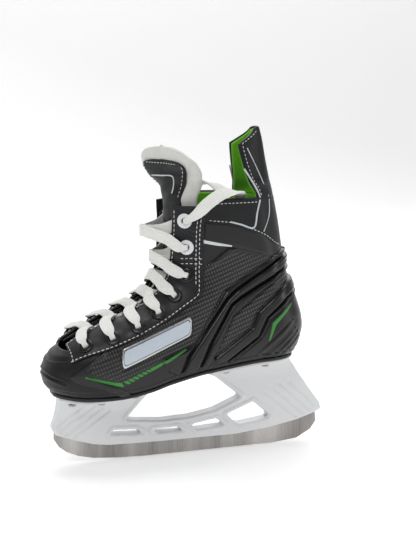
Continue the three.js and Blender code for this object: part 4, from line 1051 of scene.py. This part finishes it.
GUARD_TOP = 1.9
guard_hs = np.linspace(1.004, GUARD_TOP, 80)
soft_corner = lambda h: 1 - 0.5 * np.clip((h - 1.70) / 0.2, 0, 1)
guard_from = lambda h: 1 - (1 - guard_edge(h)) * soft_corner(h)
guard_to = lambda h: 2 - guard_from(h)
outer, inner, _, _ = slab(guard_hs, guard_from, guard_to, 70, -2.6, 0.2)
guard = add_slab("tendon_guard_skin", outer, inner, MAT["collar"], body=None)
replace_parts(guard, "tendon_guard")
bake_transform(guard)
inner_from = lambda h: guard_from(h) + gap_round(h, guard_from(h), 1.0)
outer, inner, _, _ = slab(np.linspace(1.0, GUARD_TOP - 0.02, 80), inner_from, lambda h: 2 - inner_from(h), 70,
                          -5.2, -2.7)
lining_up = add_slab("guard_lining", outer, inner, MAT["lining"], body=None, round_by=0.5)
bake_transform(lining_up)

pad_back = lambda h: np.full(np.shape(h), 0.994)
for side, word in ((1, "lateral"), (-1, "medial")):
    outer, inner, _, _ = slab(np.linspace(0.34, 0.985, 60), lambda h: side * pad_front(h),
                              lambda h: side * pad_back(h), 60, -SHELL - LAYER - FOAM, -SHELL - LAYER)
    foam = add_slab("ankle_pad_" + word, outer, inner, MAT["foam"])
    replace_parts(foam, "ankle_foam_" + word)
liner_to = lambda h: 2 - pad_front(h)
outer, inner, _, _ = slab(np.linspace(0.10, 0.992, 150), pad_front, liner_to, 160,
                          -SHELL - FOAM - 2 * LAYER - LINER, -SHELL - FOAM - 2 * LAYER + 0.5)
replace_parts(add_slab("liner_cloth", outer, inner, MAT["lining"]), "liner")

for side, word in ((1, "lateral"), (-1, "medial")):
    hem = [(x, float(curve(RIM, 1, x)) + 2.0) for x in np.linspace(6, 64, 24)]
    p, n = on_skin(hem, 0.6, side)
    stitches("hem_stitches_" + word, [(p, n)], pitch=3.0, length=2.1, radius=0.3)

# rolled top edge between the padding and the collar, from the facing to the guard on both sides
roll_turn = np.linspace(0, math.pi, 12)
for side, word in ((1, "lateral"), (-1, "medial")):
    u = np.linspace(0, 1, 60)
    h0 = np.full(60, 0.992)
    a, b = pad_front(h0) * 0.99, guard_edge(h0)
    q = side * (a + (b - a) * u)
    base, n = base_point(h0, q), normal_at(h0, q)
    middle, reach = -3.6, 4.0
    ring = (base[:, None] + n[:, None] * (middle + reach * np.cos(roll_turn))[None, :, None]
            + np.array([0, 0, 1.0]) * (2.2 * np.sin(roll_turn) - 0.6)[None, :, None])
    under = base[:, None] + n[:, None] * (middle + (reach - 1.0) * np.cos(roll_turn))[None, :, None] \
        + np.array([0, 0, 1.0]) * (0.6 * np.sin(roll_turn) - 1.6)[None, :, None]
    add_slab("collar_roll_" + word, ring, under, MAT["collar"])
    p, nn = skin(h0[1:-1] * 0 + 0.982, q[1:-1], 0.55), n[1:-1]
    stitches("collar_stitches_" + word, [(p, nn)], pitch=3.0, length=2.1, radius=0.3)

outer, inner, _, _ = slab(np.linspace(0.035, 0.325, 30), lambda h: round_at_x(h, -5.0),
                          lambda h: 2 - round_at_x(h, -5.0), 80, -5.4, -3.5)
counter = add_slab("heel_counter_pad", outer, inner, MAT["foam"])
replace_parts(counter, "heel_counter")

# piping and stitches on collar and guard, both sides
COLLAR_LINE = sketch((25.4, 182.4), (34, 180), (44, 177.2), (46.5, 188), (49, 197.6))
GUARD_LINE = sketch((49.2, 199.2), (47.5, 205), (41.2, 219.4))
REAR_LINE = sketch((52.1, 173.7), (57.2, 185.7), (57.9, 197.4))
REAR_UP = sketch((57.9, 199.2), (53.1, 216.6), (45.2, 234.5))
for side, word in ((1, "lateral"), (-1, "medial")):
    for tag, line, blended in (("a", COLLAR_LINE, 0), ("b", GUARD_LINE, 1), ("c", REAR_LINE, 0),
                               ("d", REAR_UP, 1)):
        radius = 0.65 if tag in "ab" else 0.4
        run = on_skin(line, 0.3 if blended else 0.55, side)
        obj = piping("piping_%s_%s" % (tag, word), run, radius, "pale", None if blended else "boot")
        if blended:
            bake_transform(obj)
    hs = np.linspace(1.02, 1.86, 60)
    q = guard_from(hs) + gap_round(hs, guard_from(hs), 2.0)
    edge = stitches("guard_stitches_" + word, [(skin(hs, side * q, 0.35), normal_at(hs, side * q))],
                    body=None, pitch=3.0, length=2.0, radius=0.28)
    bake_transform(edge)

# ------------------------------------------------------------------ tongue
TONGUE_TOP = 1.62


def tongue_edge(h):
    t = throat(h)
    arc = np.where(h < 0.32, 6.0, 16.0)
    return t + gap_round(h, t, 1.0) * arc * 0.93


def tongue_half(h):
    h = np.asarray(h, float)
    top = tongue_edge(np.full(h.shape, 1.0)) * np.sqrt(
        np.maximum(0.03, 1 - np.maximum(0, (h - 1.2) / (TONGUE_TOP - 1.19)) ** 3.0))
    return np.where(h <= 1, tongue_edge(h), top)


def turn_tongue(p):
    """The free end opens flat and turns toward the lateral side as it rises."""
    up = smooth((p[..., 2] - 196) / 24)
    a, across = math.pi / 8 * up, p[..., 1] / 24
    x = p[..., 0] + 18.6 - 0.72 * up * (15.5 * np.abs(across) ** 2.3 - 15)
    y = p[..., 1] * (1 + 0.14 * up * across ** 2)
    return np.stack([x * np.cos(a) - y * np.sin(a) - 18.6, x * np.sin(a) + y * np.cos(a), p[..., 2]], -1)


def felt_lift(base):
    y, z = base[..., 1], base[..., 2]
    return 0.35 * np.sin(y * 0.31 + z * 0.12) * np.sin(z * 0.19 + y * 0.07)


outer, inner, _, _ = slab(np.linspace(0.41, TONGUE_TOP, 170), lambda h: -tongue_half(h), tongue_half, 64,
                          -TONGUE_DEPTH - TONGUE, -TONGUE_DEPTH, felt_lift)
tongue = add_slab("tongue_felt", turn_tongue(outer), turn_tongue(inner), MAT["felt"], body=None,
                  round_by=0.55)
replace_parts(tongue, "tongue_lower", "tongue_upper")
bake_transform(tongue)

PATCH_TOP = 1.46
corner = lambda h: np.sqrt(np.clip(1 - np.clip((h - PATCH_TOP + 0.09) / 0.1, 0, 1) ** 2.5, 0.15, 1))
patch_edge = lambda h: tongue_half(h) * corner(h) * (0.66 + 0.2 * smooth((1.0 - h) / 0.15))
patch_hs = np.linspace(0.42, PATCH_TOP, 150)
outer, inner, h, _ = slab(patch_hs, lambda h: -patch_edge(h), patch_edge, 50,
                          -TONGUE_DEPTH - 0.2, -TONGUE_DEPTH + 0.55)
proud = 0.7 * smooth((h - 0.98) / 0.06)
outer += normal_at(h, _) * (proud + felt_lift(outer))[..., None]
patch = add_slab("tongue_patch_skin", turn_tongue(outer), turn_tongue(inner), MAT["patch"], body=None)
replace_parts(patch, "tongue_patch")
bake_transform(patch)
hs = np.linspace(1.0, PATCH_TOP - 0.04, 60)
lines = []
for s in (1, -1):
    q = s * patch_edge(hs) * 0.9
    at, n = skin(hs, q, -TONGUE_DEPTH + 1.35), normal_at(hs, q)
    lines.append((at + n * felt_lift(at)[:, None], n))
row = np.full(40, PATCH_TOP - 0.035)
qs = np.linspace(-0.86, 0.86, 40) * patch_edge(row)
at, n = skin(row, qs, -TONGUE_DEPTH + 1.35), normal_at(row, qs)
lines.append((at + n * felt_lift(at)[:, None], n))
lines = [(turn_tongue(p), turn_tongue(p + n) - turn_tongue(p)) for p, n in lines]
sewn = stitches("tongue_stitches", lines, body=None, pitch=3.0, length=2.1, radius=0.3)
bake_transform(sewn)


accent = np.array([(1.235, -0.62), (1.245, -0.1), (1.25, 0.36), (1.18, 0.45), (1.08, 0.53), (1.03, 0.55)])
q = accent[:, 1] * patch_edge(accent[:, 0])
at, n = skin(accent[:, 0], q, -TONGUE_DEPTH + 1.35), normal_at(accent[:, 0], q)
at = at + n * felt_lift(at)[:, None]
trim = piping("tongue_trim", (turn_tongue(at), turn_tongue(at + n) - turn_tongue(at)), 0.6, "pale", None, 0.5)
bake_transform(trim)


# ------------------------------------------------------------------ turned pieces
def turned(centre, axis, profile, sides=40):
    axis = np.asarray(axis, float) / np.linalg.norm(axis)
    ref = np.cross(axis, [0.3, 1, 0.2])
    ref /= np.linalg.norm(ref)
    other = np.cross(axis, ref)
    turn = np.arange(sides) / sides * 2 * math.pi
    r, z = np.array(profile, float).T
    ring = (np.asarray(centre)[None, None] + r[:, None, None] * (np.cos(turn)[None, :, None] * ref
            + np.sin(turn)[None, :, None] * other) + z[:, None, None] * axis)
    faces = [list(f) for f in grid_faces(len(profile), sides, wrap=True)]
    return ring.reshape(-1, 3), faces


for (side, row), e in eyelets.items():
    top = EYELET_TOP
    profile = [(EYELET_BORE, EYELET_END), (EYELET_BORE, top - 0.75)]
    profile += [(3.95 - 1.55 * math.cos(a), top - 0.75 + 0.75 * math.sin(a))
                for a in np.linspace(0.15, math.pi - 0.15, 12)]
    profile += [(EYELET_FLANGE, top - 1.25), (EYELET_FLANGE - 0.2, FACE + 0.1), (EYELET_BARREL, FACE + 0.05),
                (EYELET_BARREL, EYELET_END), (EYELET_BORE, EYELET_END)]
    points, faces = turned(e["at"], e["axis"], profile)
    word, look = ("lateral" if side > 0 else "medial"), ("eyelet_white" if row > 5 else "eyelet_black")
    ring = make_mesh("eyelet_ring_%s_%d" % (word, row + 1), points, faces, MAT[look])
    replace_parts(ring, "eyelet_%s_%d" % (word, row + 1))

RIVETS = [(-94, 13.2), (-73, 17), (-47, 17), (24, 17), (56, 17)]
points, faces, names = [], [], []
for i, (x, y) in enumerate(RIVETS):
    for s, word in ((-1, "lateral"), (1, "medial")):
        base_z = float(sole_z(x))
        under = base_z - 3.1 - 3.2 - 1.8
        shank = base_z + 2 + 1.6 - under
        profile = [(0.01, -0.5), (1.6, -0.45), (2.6, -0.1), (3.0, 0.4), (3.0, 0.8), (1.5, 1.2),
                   (1.5, shank - 0.8), (2.4, shank - 0.8), (2.4, shank), (0.01, shank)]
        p, f = turned((x, s * y, under), (0, 0, 1), profile, 24)
        faces += [[len(points) + k for k in face] for face in f]
        points += p.tolist()
        names.append("rivet_%s_%s" % (["toe", "front", "ball", "arch", "heel"][i], word))
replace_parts(make_mesh("holder_rivets", points, faces, MAT["rivet"]), *names)

# ------------------------------------------------------------------ sole pieces
def sole_plate(name, bottom, top, inset, start, end, material, soften=0.6):
    s = start + (end - start) * (1 - np.cos(np.linspace(0, math.pi, 140))) / 2
    x, z = loop_xz(0.0, s)
    w = np.maximum(1.2, half_width(0.0, s) - inset)
    c = swing(s)
    k = min(soften, (top - bottom) / 2 - 0.01)
    shape = [(-1, -k, bottom), (-1, -0.3 * k, bottom + 0.3 * k), (-1, 0, bottom + k), (-1, 0, top - k),
             (-1, -0.3 * k, top - 0.3 * k), (-1, -k, top)]
    shape = shape + [(1, e, z1) for _, e, z1 in reversed(shape)]
    ring = np.stack([np.stack([x, c + sg * (w + e), z + up], -1) for sg, e, up in shape], 1)
    faces = [list(f) for f in grid_faces(len(s), len(shape), wrap=True)]
    faces += [list(range(len(shape))), list(range((len(s) - 1) * len(shape), len(s) * len(shape)))]
    return make_mesh(name, ring.reshape(-1, 3), faces, MAT[material])


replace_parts(sole_plate("outsole_edge", -2.8, -0.3, -0.3, 0.004, 0.996, "sole"), "outsole")
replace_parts(sole_plate("insole_cloth", 4.2, 7.2, 7.4, 0.045, 0.955, "insole"), "insole")


# ------------------------------------------------------------------ holder and runner
def world_copy(node, name):
    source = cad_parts[node]
    obj = source.copy()
    obj.data = source.data.copy()
    obj.name = name
    obj.parent = None
    obj.matrix_world = source.matrix_world.copy()
    obj.hide_render = obj.hide_viewport = False
    bpy.context.scene.collection.objects.link(obj)
    obj.data.transform(obj.matrix_world)
    obj.matrix_world.identity()
    return obj


def baked(obj):
    depsgraph = bpy.context.evaluated_depsgraph_get()
    depsgraph.update()
    mesh = bpy.data.meshes.new_from_object(obj.evaluated_get(depsgraph))
    obj.modifiers.clear()
    obj.data = mesh
    return obj


OUTER_WINDOWS = [
    [(-63.7, 20.3), (-60.9, 23.7), (-43.0, 22.7), (-37.6, 18.9)],
    [(-30.0, 21.6), (-10.7, 21.9), (-5.9, 18.0), (-27.1, 18.7)],
    [(0.0, 22.6), (20.6, 25.7), (27.6, 19.6), (4.4, 18.3)],
    [(29.1, 28.3), (51.0, 36.6), (63.7, 25.2), (62.7, 22.4), (40.6, 19.4), (36.1, 20.8)],
    [(-33.0, 52.5), (-50.8, 31.8), (-45.4, 30.3), (-23.1, 28.1), (-0.3, 28.9), (19.3, 32.4), (39.2, 40.5),
     (40.1, 41.9), (19.3, 59.1), (10.5, 63.0)]]
HOLDER_MARKS = [[(-104, 30), (-84, 45.5)], [(-101, 26.5), (-76, 44.5)], [(-97, 23), (-70, 42.5)],
                [(-92, 20.5), (-64, 40)], [(101, 30), (80, 51)], [(97, 26.5), (72, 50)],
                [(92, 23.5), (66, 47)],
                [(86, 21), (60, 43)]]
holder = world_copy("holder", "holder_body")
holder.modifiers.clear()
m = holder.modifiers.new("even", "REMESH")
m.mode, m.voxel_size = "VOXEL", 0.00075
m = holder.modifiers.new("ease", "SMOOTH")
m.factor, m.iterations = 0.5, 4
baked(holder)
mesh = holder.data
co = np.empty(len(mesh.vertices) * 3)
mesh.vertices.foreach_get("co", co)
co = co.reshape(-1, 3) * 1000
no = np.empty(len(mesh.vertices) * 3)
mesh.vertices.foreach_get("normal", no)
no = no.reshape(-1, 3)
flat = np.clip((np.abs(no[:, 1]) - 0.6) / 0.3, 0, 1)
x, z = co[:, 0], co[:, 2]
push = np.zeros(len(co))
for polygon in OUTER_WINDOWS:
    d = -inside(x, z, polygon)
    push += 0.8 * smooth((d - 0.2) / 0.8) * (1 - smooth((d - 2.6) / 0.8))
for line in HOLDER_MARKS:
    d = dist_to_line(x, z, line)[0]
    push -= 0.9 * np.exp(-(d / 0.9) ** 2)
co[:, 1] += np.sign(no[:, 1]) * push * flat
mesh.vertices.foreach_set("co", (co * 0.001).ravel())
mesh.polygons.foreach_set("use_smooth", [True] * len(mesh.polygons))
mesh.materials.clear()
mesh.materials.append(MAT["holder"])
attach(holder, "boot")
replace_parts(holder, "holder")

runner = world_copy("runner", "runner_blade")
runner.modifiers.clear()
bm = bmesh.new()
bm.from_mesh(runner.data)
bmesh.ops.remove_doubles(bm, verts=bm.verts, dist=1e-6)
bmesh.ops.dissolve_limit(bm, angle_limit=0.02, verts=bm.verts, edges=bm.edges)
bm.to_mesh(runner.data)
bm.free()
m = runner.modifiers.new("edge", "BEVEL")
m.width, m.segments, m.limit_method, m.angle_limit = 0.0003, 2, "ANGLE", math.radians(50)
baked(runner)
runner.data.polygons.foreach_set("use_smooth", [False] * len(runner.data.polygons))
runner.data.materials.clear()
runner.data.materials.append(MAT["steel"])
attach(runner, "boot")
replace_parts(runner, "runner")

# ------------------------------------------------------------------ badges
def badge_plate(name, side, inset, low, high, material, cols=60, rows=24):
    u, v = np.linspace(0, 1, cols)[None], np.linspace(0, 1, rows)[:, None]
    a, b, c, d = (np.array(p, float) for p in (BADGE[0], BADGE[2], BADGE[1], BADGE[3]))
    bottom = a[None, None] + (b - a) * u[..., None]
    top = c[None, None] + (d - c) * u[..., None]
    flatp = bottom + (top - bottom) * v[..., None]
    centre = flatp.mean((0, 1))
    du, dv = np.abs(u - 0.5) * 2, np.abs(v - 0.5) * 2
    long_half, tall_half, radius = 26.1, 6.7, 2.2
    over = np.clip((du * long_half - (long_half - radius)) / radius, 0, 1)
    squeeze = 1 - (radius / tall_half) * (1 - np.sqrt(1 - over ** 2)) + 0 * dv
    middle = (bottom + top) / 2
    flatp = middle + (flatp - middle) * squeeze[..., None]
    flatp = centre + (flatp - centre) * np.array([1 - inset / long_half, 1 - inset / long_half])
    flatp = flatp + (middle - flatp) * (inset / tall_half)
    h, q = locate(flatp[..., 0].ravel(), flatp[..., 1].ravel())
    h, q = h.reshape(rows, cols), side * q.reshape(rows, cols)
    base, n = base_point(h, q), normal_at(h, q)
    return add_slab(name, base + n * high, base + n * low, MAT[material])


for side, word in ((1, "lateral"), (-1, "medial")):
    frame_ring = badge_plate("badge_rim_" + word, side, 0.0, 0.0, 1.1, "silver")
    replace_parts(frame_ring, "badge_" + word)
    badge_plate("badge_gap_" + word, side, 1.0, 0.4, 1.2, "sole")
    badge_plate("badge_face_" + word, side, 1.6, 0.5, 1.55, "badge")

# ------------------------------------------------------------------ what stays as CAD
for node, key in (("lasting_board", "foam"), ("runner_bolt_front", "rivet"), ("runner_bolt_rear", "rivet"),
                  ("runner_nut_front", "rivet"), ("runner_nut_rear", "rivet")):
    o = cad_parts[node]
    o.data.materials.clear()
    o.data.materials.append(MAT[key])

# ------------------------------------------------------------------ floor, backdrop and light
floor_look = Look("studio_floor", (0.86, 0.86, 0.86), 0.6)
floor_look.bsdf.inputs["Emission Color"].default_value = (1, 1, 1, 1)
floor_look.bsdf.inputs["Emission Strength"].default_value = 0.33
floor_look.color(floor_look.mix(floor_look.noise(3), (0.85, 0.85, 0.85), (0.88, 0.88, 0.88)))
bend = [(-3.0, 0.0), (1.2, 0.0)]
bend += [(1.2 + 0.5 * math.sin(a), 0.5 - 0.5 * math.cos(a)) for a in np.linspace(0.1, math.pi / 2, 14)]
bend.append((1.7, 3.0))
points = [(x * 1000, y * 1000, z * 1000 - 0.2) for y, z in bend for x in (-4, 4)]
floor = make_mesh("floor", points, grid_faces(len(bend), 2), floor_look.mat, body=None)


def area(name, location, size, power, color=(1, 1, 1)):
    light = bpy.data.lights.new(name, "AREA")
    light.shape, light.size, light.size_y = "RECTANGLE", size[0], size[1]
    light.energy, light.color = power, color
    obj = bpy.data.objects.new(name, light)
    bpy.context.scene.collection.objects.link(obj)
    obj.location = location
    obj.rotation_euler = (Vector((0, 0, 0.1)) - Vector(location)).to_track_quat("-Z", "Y").to_euler()
    return obj


area("key", (-0.8, -0.9, 1.3), (0.5, 0.7), 7.5)
area("fill", (1.3, -0.8, 0.6), (0.25, 1.2), 4)
area("top", (0.1, 0.2, 1.5), (1.2, 0.5), 8)
area("back", (0.5, 1.1, 0.9), (1.2, 0.6), 4)
world = bpy.data.worlds.new("studio")
bpy.context.scene.world = world
world.use_nodes = True
world.node_tree.nodes["Background"].inputs["Color"].default_value = (1, 1, 1, 1)
world.node_tree.nodes["Background"].inputs["Strength"].default_value = 0.27
bpy.context.scene.view_settings.view_transform = "Standard"
